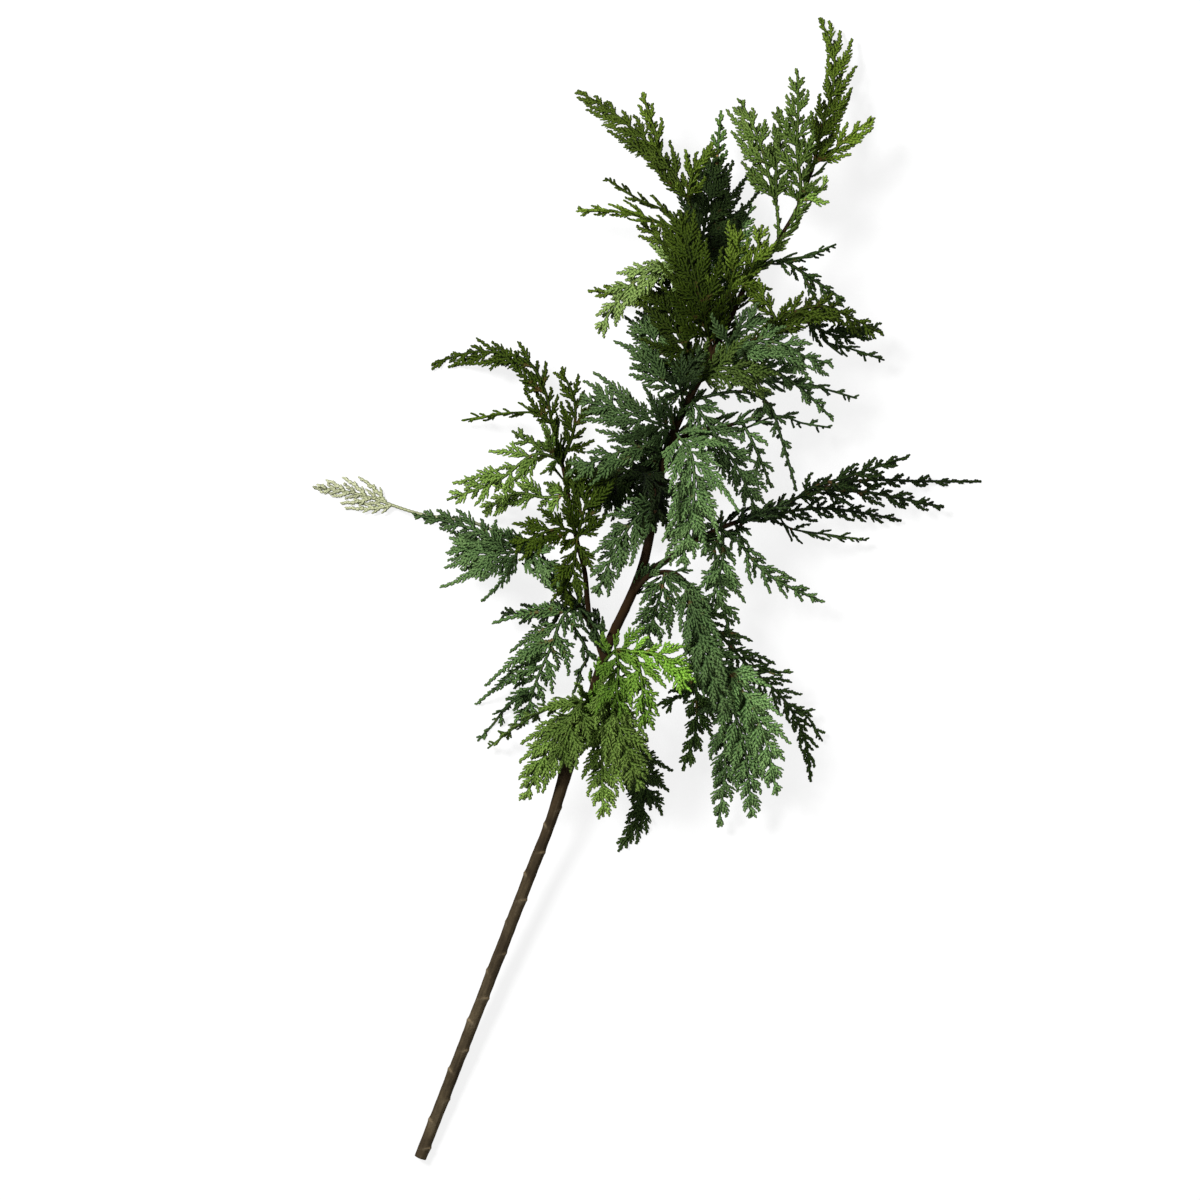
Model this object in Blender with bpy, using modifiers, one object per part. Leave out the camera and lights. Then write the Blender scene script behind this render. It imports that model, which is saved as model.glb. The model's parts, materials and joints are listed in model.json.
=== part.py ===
"""A cut branch of white cedar that lies on a table: a woody stem, its side twigs and the sprays they carry.

Blender 4.5 script. Everything is in metres and +Z is up. The table is z = 0, the cut end of the stem is at
the -Y end and the branch grows towards +Y, leaning to +X. The origin is on the table, under the middle.
"""

import math

import bmesh
import bpy
from mathutils import Vector

MM = 0.001
GAP = 0.3                 # left between a twig and the wood that carries it
FOOT_GAP = 0.5            # left between a spray and the wood that carries it
WOOD_STEP = 15            # between the rings of a twig
BARK_STEP = 10.5          # between the rings of the bare stem, two to a knob of bark
KNOB = 0.28               # how far a knob of bark stands out
BARE_STEM = 430           # length of the stem below its first spray
BLADE = 1.6               # thickness of a spray
FORK_BLADE = 1.3          # thickness of a spray that forks from another, which keeps their faces apart
FORK_AT = 5               # a fork starts at least this far up the first frond
FORK_LEAD = 0.8           # how early it starts, as a share of its distance from the first frond
LINE_STEP = 0.5           # between the points of a spray's line before it is cut into stretches
SHOOT_STEP = 18           # between two pairs of side shoots
STALK_HALF_WIDTH = 1.25   # of a spray's midrib where it starts
TIP_HALF_WIDTH = 0.6
DROOP = 0.12              # how far a side shoot sinks, as a share of its length
SHOOT_ANGLES = (37, 22)   # degrees between side shoot and midrib, at the start and at the tip

# Points are millimetres from the origin. Each piece of wood is its name, the piece that it grows from, and
# the points (x, y, z, radius) of its axis. Each spray is its name, its tint and its fronds. All fronds after
# the first fork from it. A frond is how far its side shoots reach to its left and to its right, its roll in
# degrees (0 lies flat, 90 stands on edge), and the points (x, y, z) of its midrib.
WOOD = [
    ("main_stem", None, [
        (-173, -433, 4.7, 4.7), (-126, -312, 15, 4.7), (-91, -221, 26, 4.6), (-74, -177, 34, 4.3),
        (-62, -139, 41, 4.8), (-44, -87, 49, 4.2), (-31, -45, 54, 3.8), (-7, 9, 60, 3.6),
        (3, 51, 62, 3.5), (11, 95, 63, 3.3), (25, 131, 64, 3.1), (47, 174, 64, 2.8),
        (67, 215, 62, 2.3), (77, 236, 60, 1.8),
    ]),
    ("right_twig", "main_stem", [
        (-7, 9, 60, 2.6), (14, 21, 58, 2.4), (38, 37, 54, 2.1), (65, 49, 50, 1.8),
        (87, 55, 46, 1.4),
    ]),
    ("left_lower_twig", "main_stem", [
        (-34, -52, 54, 2.8), (-42, -30, 50, 2.6), (-54, -12, 46, 2.2), (-73, 7, 42, 1.9),
        (-93, 28, 38, 1.6), (-110, 40, 34, 1.2),
    ]),
    ("left_upper_twig", "left_lower_twig", [
        (-44, -28, 49.5, 1.8), (-46, -9, 56, 2.1), (-48, 12, 58, 1.9), (-54, 36, 56, 1.8),
        (-59, 62, 53, 1.6), (-65, 94, 49, 1.5), (-72, 120, 44, 1.2),
    ]),
    ("arching_twig", "main_stem", [
        (-13, -6, 58, 2.3), (1, 9, 68, 2.1), (20, 10, 76, 1.9), (33, -7, 76, 1.8),
        (40, -32, 72, 1.6), (49, -57, 66, 1.3),
    ]),
    ("crown_right_twig", "main_stem", [
        (72, 226, 61, 1.8), (85, 243, 63, 1.7), (97, 260, 62, 1.6), (111, 284, 60, 1.4),
        (122, 311, 55, 1.1),
    ]),
    ("crown_left_twig", "main_stem", [
        (47, 174, 64, 2.1), (40, 211, 72, 1.9), (36, 248, 74, 1.6), (31, 284, 68, 1.3),
    ]),
    ("right_upper_twig", "main_stem", [
        (42, 164, 64, 2.1), (64, 177, 68, 1.9), (89, 189, 66, 1.6), (113, 200, 60, 1.2),
    ]),
    ("right_middle_twig", "main_stem", [
        (17, 110, 63, 2.0), (38, 117, 61, 1.8), (61, 122, 56, 1.5), (80, 127, 50, 1.1),
    ]),
]
SPRAYS = [
    ("crown_tip_spray", "olive", [
        (10, 15, 0, [
            (122, 311, 55), (130, 344, 44), (139, 376, 30), (141, 400, 18), (137, 418, 6), (130, 434, 0),
        ]),
        (7, 10, 20, [(137, 326, 56), (152, 340, 50), (169, 353, 40)]),
    ]),
    ("crown_fan_spray", "meadow", [
        (3, 3, 10, [(97, 260, 62), (96, 279, 68), (92, 301, 68)]),
        (20, 12, 10, [(87, 318, 66), (80, 341, 58), (69, 366, 44)]),
        (10, 10, 0, [(95, 319, 72), (98, 338, 70), (96, 360, 62)]),
    ]),
    ("crown_middle_spray", "meadow", [
        (15, 14, 0, [(112, 286, 60), (113, 302, 72), (110, 326, 78), (111, 355, 76), (111, 387, 62)]),
        (8, 8, 0, [(122, 291, 66), (134, 305, 64)]),
    ]),
    ("crown_left_spray", "olive", [
        (15, 9, 0, [
            (31, 284, 68), (19, 309, 66), (1, 332, 52), (-27, 359, 26), (-46, 373, 6), (-54, 379, 0),
        ]),
        (10, 12, 0, [(30, 298, 82), (35, 314, 88), (50, 326, 84)]),
        (6, 6, 0, [(5, 339, 60), (0, 356, 54), (-5, 372, 44)]),
    ]),
    ("crown_dark_spray", "shade", [
        (26, 33, 0, [(37, 243, 73), (41, 266, 56), (45, 291, 46), (49, 322, 38)]),
        (6, 7, 0, [(51, 318, 36), (53, 339, 30), (55, 361, 26)]),
    ]),
    ("left_blade_spray", "olive", [
        (7, 7, 78, [(36, 251, 74), (14, 279, 70), (-7, 290, 60), (-33, 308, 46)]),
        (8, 10, 68, [(14, 270, 62), (-18, 281, 50), (-54, 284, 34)]),
    ]),
    ("left_shoulder_spray", "olive", [
        (12, 12, 10, [(39, 218, 72), (25, 244, 56), (9, 261, 42), (-6, 276, 28)]),
        (9, 10, 30, [(14, 216, 50), (-14, 221, 36), (-46, 225, 20)]),
    ]),
    ("light_left_spray", "pale", [
        (17, 14, 0, [
            (35, 220, 73), (24, 239, 86), (5, 237, 86), (-16, 223, 74), (-29, 206, 62), (-38, 190, 50),
        ]),
    ]),
    ("heart_front_spray", "dark_olive", [
        (27, 22, 0, [(46, 181, 66), (39, 209, 94), (31, 240, 102), (24, 278, 92)]),
        (12, 9, 0, [(47, 188, 72), (50, 198, 77), (51, 208, 76)]),
    ]),
    ("heart_left_spray", "dark_olive", [
        (20, 18, -10, [(43, 164, 64), (26, 180, 78), (16, 205, 74), (11, 238, 70)]),
    ]),
    ("crown_blue_spray", "blue_shade", [
        (20, 15, 0, [(55, 189, 64), (52, 223, 52), (64, 257, 44), (78, 288, 30)]),
    ]),
    ("crown_front_spray", "olive", [
        (15, 10, 0, [(62, 206, 63), (60, 223, 92), (66, 248, 94), (63, 270, 86)]),
        (12, 14, 0, [(73, 231, 84), (80, 250, 88), (84, 270, 84)]),
    ]),
    ("right_spike_spray", "shade", [
        (8, 8, 75, [(79, 238, 60), (95, 244, 66), (118, 248, 60), (141, 258, 46)]),
        (6, 14, 0, [(102, 243, 70), (122, 231, 62), (148, 215, 44)]),
    ]),
    ("right_wing_spray", "olive", [
        (10, 16, 0, [(89, 189, 66), (106, 204, 76), (129, 210, 70), (152, 202, 56), (176, 191, 40)]),
        (15, 14, 0, [(94, 200, 80), (85, 214, 84), (76, 222, 84)]),
    ]),
    ("right_wing_low_spray", "shade", [
        (14, 10, 0, [(113, 202, 60), (135, 191, 46), (153, 189, 36), (175, 196, 22)]),
        (6, 7, 60, [(133, 185, 42), (156, 179, 34), (179, 172, 22)]),
    ]),
    ("right_blue_arch", "blue", [
        (12, 21, 0, [(49, 169, 65), (71, 181, 92), (97, 181, 92), (117, 171, 82), (137, 167, 68)]),
        (18, 15, 0, [(60, 183, 92), (70, 194, 96), (83, 203, 94)]),
    ]),
    ("right_blue_low_spray", "blue", [
        (12, 9, 0, [(53, 171, 66), (84, 165, 74), (111, 151, 62), (139, 126, 44)]),
        (9, 9, 72, [(84, 156, 50), (118, 153, 42), (158, 143, 26)]),
    ]),
    ("right_meadow_patch", "meadow", [
        (21, 20, 0, [(38, 157, 64), (51, 163, 88), (69, 160, 94), (87, 145, 86)]),
    ]),
    ("right_hanging_spray", "blue", [
        (7, 8, 0, [(31, 140, 64), (66, 146, 74), (89, 137, 70), (100, 109, 60), (111, 72, 50)]),
    ]),
    ("right_middle_spray", "blue", [
        (10, 9, 0, [(70, 124, 53), (77, 111, 52), (85, 94, 44), (93, 75, 30)]),
        (8, 8, 60, [(97, 129, 44), (116, 124, 36), (138, 121, 24)]),
    ]),
    ("left_blue_top_spray", "blue_shade", [
        (24, 21, 0, [(38, 155, 64), (20, 168, 67), (5, 184, 60), (-6, 207, 48)]),
    ]),
    ("left_blue_high_spray", "blue_shade", [
        (15, 21, 0, [(31, 143, 64), (14, 150, 76), (1, 161, 75), (-8, 177, 66)]),
        (14, 14, 0, [(23, 151, 90), (30, 164, 94), (39, 176, 90)]),
    ]),
    ("left_blue_fan", "blue", [
        (22, 24, 0, [(21, 118, 64), (-1, 124, 94), (-26, 133, 92), (-51, 139, 80)]),
    ]),
    ("left_blue_low_spray", "blue_shade", [
        (18, 15, 0, [(13, 99, 63), (-7, 105, 82), (-34, 96, 80), (-60, 87, 68)]),
    ]),
    ("left_dark_spray", "shade", [
        (26, 30, 0, [(10, 86, 63), (-6, 93, 44), (-23, 80, 34), (-38, 62, 22)]),
        (22, 18, 0, [(4, 72, 42), (-3, 57, 32), (-8, 39, 20)]),
        (14, 14, 0, [(-4, 85, 78), (8, 74, 86), (7, 59, 84), (4, 43, 76)]),
    ]),
    ("centre_left_spray", "blue", [
        (18, 18, 0, [(5, 62, 62), (-11, 50, 84), (-26, 26, 82), (-39, -5, 70)]),
    ]),
    ("centre_front_spray", "blue", [
        (26, 27, 0, [(20, 116, 64), (31, 98, 100), (33, 72, 104), (30, 46, 92), (24, 18, 74)]),
    ]),
    ("centre_right_spray", "blue", [
        (17, 15, 0, [(31, 142, 64), (51, 111, 82), (68, 85, 76), (82, 54, 54)]),
    ]),
    ("right_long_spray", "shade", [
        (7, 8, 0, [(87, 55, 46), (120, 71, 40), (160, 81, 28), (206, 81, 8), (234, 81, 0), (254, 81, 0)]),
        (9, 10, 0, [(122, 75, 50), (145, 82, 50), (169, 90, 44), (196, 99, 34)]),
        (9, 10, 0, [(134, 74, 37), (166, 72, 29), (194, 67, 19), (225, 61, 10)]),
    ]),
    ("right_long_low_spray", "shade", [
        (9, 10, 0, [(80, 53, 47), (126, 60, 27), (161, 57, 14), (193, 51, 4)]),
        (8, 10, 60, [(107, 45, 30), (138, 40, 20), (166, 36, 10)]),
    ]),
    ("right_drop_outer_spray", "blue_shade", [
        (11, 10, 0, [(65, 49, 50), (73, 27, 58), (94, 7, 48), (132, -11, 26)]),
        (8, 8, 0, [(74, 51, 62), (89, 58, 62), (106, 64, 58)]),
    ]),
    ("right_drop_inner_spray", "blue", [
        (16, 16, 0, [(55, 46, 52), (55, 22, 67), (50, 1, 62), (46, -23, 50)]),
        (10, 10, 0, [(49, 48, 62), (41, 55, 66), (37, 65, 68)]),
    ]),
    ("right_drop_low_spray", "blue_shade", [
        (16, 11, 0, [(47, 42, 53), (54, 0, 40), (60, -29, 30), (66, -49, 18)]),
    ]),
    ("arch_long_spray", "blue", [
        (18, 16, 0, [(49, -57, 66), (62, -87, 60), (73, -126, 46), (78, -174, 22)]),
        (14, 12, 0, [(55, -93, 52), (58, -133, 36), (53, -182, 12)]),
    ]),
    ("arch_top_spray", "blue", [
        (14, 14, 0, [(26, 7, 76), (35, -26, 90), (44, -60, 86), (59, -94, 76)]),
    ]),
    ("arch_left_spray", "blue_shade", [
        (18, 16, 0, [(12, 12, 74), (9, -3, 80), (4, -20, 68), (-2, -43, 46)]),
    ]),
    ("arch_right_spray", "blue", [
        (16, 15, 0, [(44, -45, 69), (69, -76, 72), (86, -110, 62), (97, -157, 38)]),
    ]),
    ("arch_dark_spray", "shade", [
        (16, 12, 0, [(40, -32, 72), (36, -69, 44), (36, -107, 26), (26, -138, 12)]),
        (8, 9, 30, [(25, -80, 38), (10, -91, 36)]),
    ]),
    ("arch_outer_spray", "shade", [
        (15, 14, 0, [(35, -14, 74), (73, -57, 50), (103, -85, 20), (119, -114, 2), (124, -148, 0)]),
        (6, 6, 40, [(91, -63, 40), (107, -64, 34)]),
        (6, 6, 40, [(120, -97, 14), (133, -117, 3)]),
    ]),
    ("left_fan_spray", "blue_shade", [
        (18, 39, 0, [
            (-54, -12, 46), (-65, -23, 52), (-73, -44, 44), (-82, -64, 30), (-89, -84, 12), (-93, -104, 0),
        ]),
        (9, 10, 0, [(-73, -19, 38), (-91, -20, 30), (-112, -19, 20)]),
        (8, 6, 30, [(-105, -88, 14), (-118, -104, 1), (-130, -117, 0)]),
        (8, 10, 0, [(-48, -18, 60), (-39, -33, 62), (-34, -48, 60)]),
        (6, 6, 0, [(-46, -48, 50), (-51, -62, 42), (-56, -79, 30)]),
    ]),
    ("left_wing_spray", "faded", [
        (12, 12, 0, [
            (-110, 40, 34), (-135, 50, 28), (-173, 56, 14), (-212, 69, 0), (-234, 74, 0), (-254, 76, 0),
        ]),
    ]),
    ("left_cluster_spray", "blue", [
        (32, 22, 0, [(-93, 28, 38), (-110, 26, 58), (-130, 27, 50), (-148, 31, 36)]),
        (9, 10, 0, [(-123, 40, 56), (-149, 49, 46), (-177, 55, 36)]),
        (14, 15, 0, [(-84, 24, 62), (-72, 13, 64), (-59, 0, 62)]),
    ]),
    ("left_arc_spray", "dark_olive", [
        (20, 8, 0, [
            (-72, 120, 44), (-78, 148, 46), (-92, 171, 38), (-124, 179, 16), (-147, 176, 2), (-165, 170, 0),
        ]),
        (8, 8, 75, [(-88, 132, 34), (-112, 131, 24), (-142, 127, 10)]),
    ]),
    ("left_upright_spray", "dark_olive", [
        (15, 15, 0, [(-65, 94, 49), (-56, 118, 64), (-56, 142, 64), (-66, 163, 52)]),
    ]),
    ("left_light_spray", "meadow", [
        (16, 20, 0, [(-65, 96, 49), (-86, 99, 72), (-113, 80, 62), (-152, 66, 40)]),
        (9, 10, 0, [(-75, 107, 60), (-89, 109, 58), (-103, 118, 48)]),
    ]),
    ("left_middle_spray", "meadow", [
        (15, 15, 0, [(-60, 70, 52), (-78, 68, 38), (-101, 71, 28), (-126, 57, 14)]),
    ]),
    ("left_olive_spray", "dark_olive", [
        (21, 18, 0, [(-54, 36, 56), (-48, 59, 66), (-42, 78, 60), (-36, 91, 50)]),
        (20, 16, 0, [(-66, 44, 70), (-81, 40, 68), (-99, 31, 56)]),
        (15, 14, 0, [(-57, 13, 72), (-62, 0, 68), (-62, -14, 58)]),
    ]),
    ("bright_spray", "bright", [
        (18, 16, 0, [(-34, -56, 54), (-23, -46, 84), (-10, -51, 99), (-5, -76, 101), (-3, -105, 92)]),
        (14, 15, 0, [(0, -48, 106), (15, -54, 102), (29, -76, 96)]),
        (15, 18, 0, [(-23, -60, 94), (-24, -77, 94), (-20, -94, 90)]),
    ]),
    ("lower_middle_spray", "meadow", [
        (20, 21, 0, [(-38, -71, 51), (-32, -76, 77), (-20, -110, 79), (-7, -150, 62)]),
        (18, 16, 0, [(-33, -96, 66), (-35, -133, 56), (-34, -173, 36)]),
    ]),
    ("lower_left_spray", "meadow", [
        (18, 18, 0, [(-43, -84, 49), (-55, -90, 74), (-74, -118, 64), (-94, -160, 42)]),
        (18, 16, 0, [(-51, -90, 76), (-61, -111, 86), (-65, -134, 76)]),
        (6, 9, 60, [(-70, -89, 50), (-97, -103, 30), (-122, -122, 8)]),
    ]),
    ("lower_dark_spray", "shade", [
        (17, 18, 0, [(-47, -96, 48), (-20, -119, 32), (-3, -149, 14), (-8, -178, 2), (-23, -201, 0)]),
    ]),
]

COLOURS = {
    "bark": (0.055, 0.040, 0.026),
    "bright": (0.12, 0.22, 0.03),
    "meadow": (0.09, 0.15, 0.035),
    "olive": (0.05, 0.075, 0.012),
    "dark_olive": (0.022, 0.036, 0.004),
    "blue": (0.07, 0.125, 0.055),
    "blue_shade": (0.04, 0.07, 0.03),
    "shade": (0.014, 0.026, 0.008),
    "pale": (0.20, 0.27, 0.09),
    "faded": (0.30, 0.34, 0.18),
}


# ---------------------------------------------------------------- paths

def curve_through(points, step):
    """A smooth line (a Catmull-Rom spline) through the points, as points about step apart, both ends kept."""
    points = [Vector(p) for p in points]
    ends = [2 * points[0] - points[1], *points, 2 * points[-1] - points[-2]]
    fine = []
    for a, b, c, d in zip(ends, ends[1:], ends[2:], ends[3:]):
        for i in range(12):
            t = i / 12
            fine.append(0.5 * (2 * b + (c - a) * t + (2 * a - 5 * b + 4 * c - d) * t**2
                               + (3 * b - a - 3 * c + d) * t**3))
    fine.append(points[-1])
    return resampled(fine, step)


def resampled(line, step):
    """The same line with its points an even distance apart, as near to step as its length allows."""
    along = [0.0]
    for a, b in zip(line, line[1:]):
        along.append(along[-1] + (b - a).length)
    count = max(3, round(along[-1] / step))
    spaced = []
    k = 0
    for i in range(count + 1):
        target = along[-1] * i / count
        while k < len(line) - 2 and along[k + 1] < target:
            k += 1
        share = (target - along[k]) / max(along[k + 1] - along[k], 1e-9)
        spaced.append(line[k].lerp(line[k + 1], share))
    return spaced


def tangents(line):
    """The direction of a line at each of its points."""
    ahead = [*line[1:], 2 * line[-1] - line[-2]]
    behind = [2 * line[0] - line[1], *line[:-1]]
    return [(a - b).normalized() for a, b in zip(ahead, behind)]


# ---------------------------------------------------------------- wood

def radius_at(p, points):
    """The radius between the two given points of the wood that are nearest to p."""
    a, b = sorted(points, key=lambda q: (Vector(q[:3]) - p).length)[:2]
    to_a = (Vector(a[:3]) - p).length
    to_b = (Vector(b[:3]) - p).length
    return (a[3] * to_b + b[3] * to_a) / (to_a + to_b)


def wood_line(name, points):
    """(points, radii) along a piece of wood. The rings of the bare stem are closer, and every other one
    stands out as the scales of its bark do."""
    if name != "main_stem":
        line = curve_through([p[:3] for p in points], WOOD_STEP)
        return line, [radius_at(p, points) for p in line]
    line = curve_through([p[:3] for p in points], BARK_STEP)
    bare = round(BARE_STEM / BARK_STEP)
    last = [] if (len(line) - bare) % 2 else line[-1:]
    line = line[:bare] + line[bare::2] + last
    radii = [radius_at(p, points) for p in line]
    for i in range(1, bare):
        radii[i] += KNOB if i % 2 else -KNOB
    return line, radii


def tube(name, line, radii):
    """A closed tube, made from a bevelled curve. The stem has eight sides and a twig six."""
    curve = bpy.data.curves.new(name, "CURVE")
    curve.dimensions = "3D"
    curve.bevel_depth = MM
    curve.bevel_resolution = 2 if name.startswith("main_stem") else 1
    curve.use_fill_caps = True
    spline = curve.splines.new("POLY")
    spline.points.add(len(line) - 1)
    for point, at, radius in zip(spline.points, line, radii):
        point.co = (*(at * MM), 1)
        point.radius = radius
    drawn = bpy.data.objects.new(name + "_curve", curve)
    bpy.context.scene.collection.objects.link(drawn)
    graph = bpy.context.evaluated_depsgraph_get()
    mesh = bpy.data.meshes.new_from_object(drawn.evaluated_get(graph))
    bpy.data.objects.remove(drawn)
    weld_caps(mesh)
    return bpy.data.objects.new(name, mesh)


def weld_caps(mesh):
    """Joins a curve's loose caps to its sides."""
    work = bmesh.new()
    work.from_mesh(mesh)
    bmesh.ops.remove_doubles(work, verts=work.verts, dist=0.01 * MM)
    bmesh.ops.recalc_face_normals(work, faces=work.faces)
    work.to_mesh(mesh)
    work.free()


def cut(obj, cutter):
    """Cuts the cutter's form out of the object."""
    modifier = obj.modifiers.new("clear of " + cutter.name, "BOOLEAN")
    modifier.operation = "DIFFERENCE"
    modifier.object = cutter


def make_wood(branch, cutters):
    """Makes every piece of wood, cut off where it meets the one it grows from, and returns their lines."""
    lines = {}
    shells = {}
    for name, carrier, points in WOOD:
        line, radii = wood_line(name, points)
        lines[name] = (line, radii)
        piece = tube(name, line, radii)
        piece.data.materials.append(material("bark"))
        piece.data.shade_smooth()
        branch.objects.link(piece)
        shells[name] = tube(name + "_shell", line, [r + GAP for r in radii])
        as_cutter(shells[name], cutters)
        if carrier:
            cut(piece, shells[carrier])
    return lines


def as_cutter(obj, cutters):
    """Puts an object that is only a tool for a Boolean with the cutters."""
    obj.hide_render = True
    obj.display_type = "WIRE"
    cutters.objects.link(obj)


def clearance(point, wood):
    """How far a point is outside the nearest wood."""
    nearest = 1e9
    for line, radii in wood.values():
        for a, b, ra, rb in zip(line, line[1:], radii, radii[1:]):
            share = min(max((point - a).dot(b - a) / (b - a).length_squared, 0), 1)
            nearest = min(nearest, (point - a.lerp(b, share)).length - (ra + (rb - ra) * share))
    return nearest


# ---------------------------------------------------------------- sprays

def off_the_wood(line, wood):
    """The part of a spray's line that starts just outside the wood that carries it."""
    fine = resampled(line, LINE_STEP)
    for i, (p, t) in enumerate(zip(fine, tangents(fine))):
        side = Vector((t.y, -t.x, 0)).normalized() * STALK_HALF_WIDTH
        up = Vector((0, 0, BLADE / 2))
        corners = [p + side + up, p + side - up, p - side + up, p - side - up]
        if min(clearance(c, wood) for c in corners) > FOOT_GAP:
            return fine[i:]
    raise ValueError("a spray never leaves the wood")


def across(tangent, roll):
    """The direction to the right of a spray's midrib, in the plane of the spray."""
    level = tangent.cross(Vector((0, 0, 1))).normalized()
    normal = level.cross(tangent)
    turn = math.radians(roll)
    return level * math.cos(turn) + normal * math.sin(turn)


def reach(share):
    """How far the side shoots reach at this share of a spray's length, from 0 to 1: a spear's outline."""
    return 1.3 * (0.62 + 0.38 * min(1, share / 0.3)) * (1 - share) ** 0.8


def shoot_tip(foot, tangent, roll, share, side, half_width):
    """Where a side shoot ends. side is -1 to the left of the midrib and 1 to the right."""
    turn = math.radians(SHOOT_ANGLES[0] + (SHOOT_ANGLES[1] - SHOOT_ANGLES[0]) * share)
    length = half_width * reach(share) / math.sin(turn)
    tip = foot + (tangent * math.cos(turn) + across(tangent, roll) * side * math.sin(turn)) * length
    tip.z -= DROOP * length
    return tip


def blade_faces(line, left, right, roll):
    """The points and faces of a flat frond: a midrib with a pointed shoot on each side of every stretch."""
    line = resampled(line, SHOOT_STEP)
    directions = tangents(line)
    last = len(line) - 1
    points = []
    for i in range(last):
        half = STALK_HALF_WIDTH + (TIP_HALF_WIDTH - STALK_HALF_WIDTH) * i / last
        side = across(directions[i], roll) * half
        points += [line[i] - side, line[i] + side]
    points.append(line[last])
    faces = [(2 * i, 2 * i + 1, 2 * i + 3, 2 * i + 2) for i in range(last - 1)]
    faces.append((2 * last - 2, 2 * last - 1, 2 * last))
    for i in range(last - 1):
        share = (i + 0.5) / last
        foot = (line[i] + line[i + 1]) / 2
        for side, half_width in ((-1, left), (1, right)):
            points.append(shoot_tip(foot, directions[i], roll, share, side, half_width))
            near, far = (2 * i, 2 * i + 2) if side < 0 else (2 * i + 3, 2 * i + 1)
            faces.append((near, far, len(points) - 1))
    floor = BLADE / 2
    return [Vector((p.x, p.y, max(p.z, floor))) * MM for p in points], faces


def blade(name, line, left, right, roll, thickness):
    """One spray as a solid: the flat shape given its thickness."""
    mesh = bpy.data.meshes.new(name)
    points, faces = blade_faces(line, left, right, roll)
    mesh.from_pydata(points, [], faces)
    obj = bpy.data.objects.new(name, mesh)
    solid = obj.modifiers.new("thickness", "SOLIDIFY")
    solid.thickness = thickness * MM
    solid.offset = 0
    return obj


def fork_from(first, target):
    """Where a fork that goes to the target leaves the first frond: a little before the point nearest it."""
    nearest = min(range(len(first)), key=lambda i: (first[i] - target).length)
    back = FORK_LEAD * (first[nearest] - target).length
    return first[max(nearest - round(back / LINE_STEP), round(FORK_AT / LINE_STEP))]


def make_spray(name, tint, fronds, wood, branch, cutters):
    """A spray and its forks, joined in one solid."""
    left, right, roll, points = fronds[0]
    first = off_the_wood(curve_through(points, 1), wood)
    spray = blade(name, first, left, right, roll, BLADE)
    spray.data.materials.append(material(tint))
    branch.objects.link(spray)
    for i, (left, right, roll, points) in enumerate(fronds[1:], 1):
        line = curve_through([fork_from(first, Vector(points[0])), *points], 1)
        fork = blade(f"{name}_fork_{i}", line, left, right, roll, FORK_BLADE)
        as_cutter(fork, cutters)
        joined = spray.modifiers.new("fork", "BOOLEAN")
        joined.operation = "UNION"
        joined.object = fork


# ---------------------------------------------------------------- the branch

def material(name):
    """The material of this name, made at its first use."""
    made = bpy.data.materials.get(name)
    if made:
        return made
    made = bpy.data.materials.new(name)
    made.use_nodes = True
    shader = made.node_tree.nodes["Principled BSDF"]
    shader.inputs["Base Color"].default_value = (*COLOURS[name], 1)
    shader.inputs["Roughness"].default_value = 0.85 if name == "bark" else 0.6
    shader.inputs["Metallic"].default_value = 0
    made.diffuse_color = (*COLOURS[name], 1)
    return made


def new_collection(name):
    made = bpy.data.collections.new(name)
    bpy.context.scene.collection.children.link(made)
    return made


def main():
    for obj in list(bpy.data.objects):
        bpy.data.objects.remove(obj)
    branch = new_collection("white_cedar_branch")
    cutters = new_collection("cutters")
    wood = make_wood(branch, cutters)
    for name, tint, fronds in SPRAYS:
        make_spray(name, tint, fronds, wood, branch, cutters)


main()
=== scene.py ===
"""A cut branch of white cedar, dressed leaf by leaf around its CAD frame.

Every spray of the frame is replaced by one mesh of branchlets with scale leaves, and every piece of wood by
one of bark. The tables below repeat the branch's layout: z = 0 is the table that it lies on, and +Y runs from
the cut end of the stem towards the crown. Lengths are in millimetres, but in metres in the materials and the
stage.
"""

import json
import math
import random
from collections import namedtuple
from functools import cache

import bpy
import numpy as np
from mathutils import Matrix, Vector


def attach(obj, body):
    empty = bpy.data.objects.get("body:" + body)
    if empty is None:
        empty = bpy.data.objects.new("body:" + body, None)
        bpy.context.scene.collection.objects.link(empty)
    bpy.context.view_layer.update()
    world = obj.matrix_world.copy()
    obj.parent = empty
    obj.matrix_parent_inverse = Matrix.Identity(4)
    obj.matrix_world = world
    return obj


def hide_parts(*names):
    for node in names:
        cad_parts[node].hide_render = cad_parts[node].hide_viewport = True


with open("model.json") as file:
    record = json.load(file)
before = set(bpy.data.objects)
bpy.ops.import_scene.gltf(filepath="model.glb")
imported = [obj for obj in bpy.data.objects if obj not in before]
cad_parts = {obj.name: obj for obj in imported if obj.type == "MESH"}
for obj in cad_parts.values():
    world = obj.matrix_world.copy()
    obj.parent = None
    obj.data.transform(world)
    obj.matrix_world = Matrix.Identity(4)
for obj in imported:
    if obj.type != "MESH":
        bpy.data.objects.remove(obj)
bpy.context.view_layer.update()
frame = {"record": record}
slots = {part["node"]: part["material_slot"] for part in frame["record"]["subparts"]}

MM = 0.001
UP = np.array((0.0, 0.0, 1.0))

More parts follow.
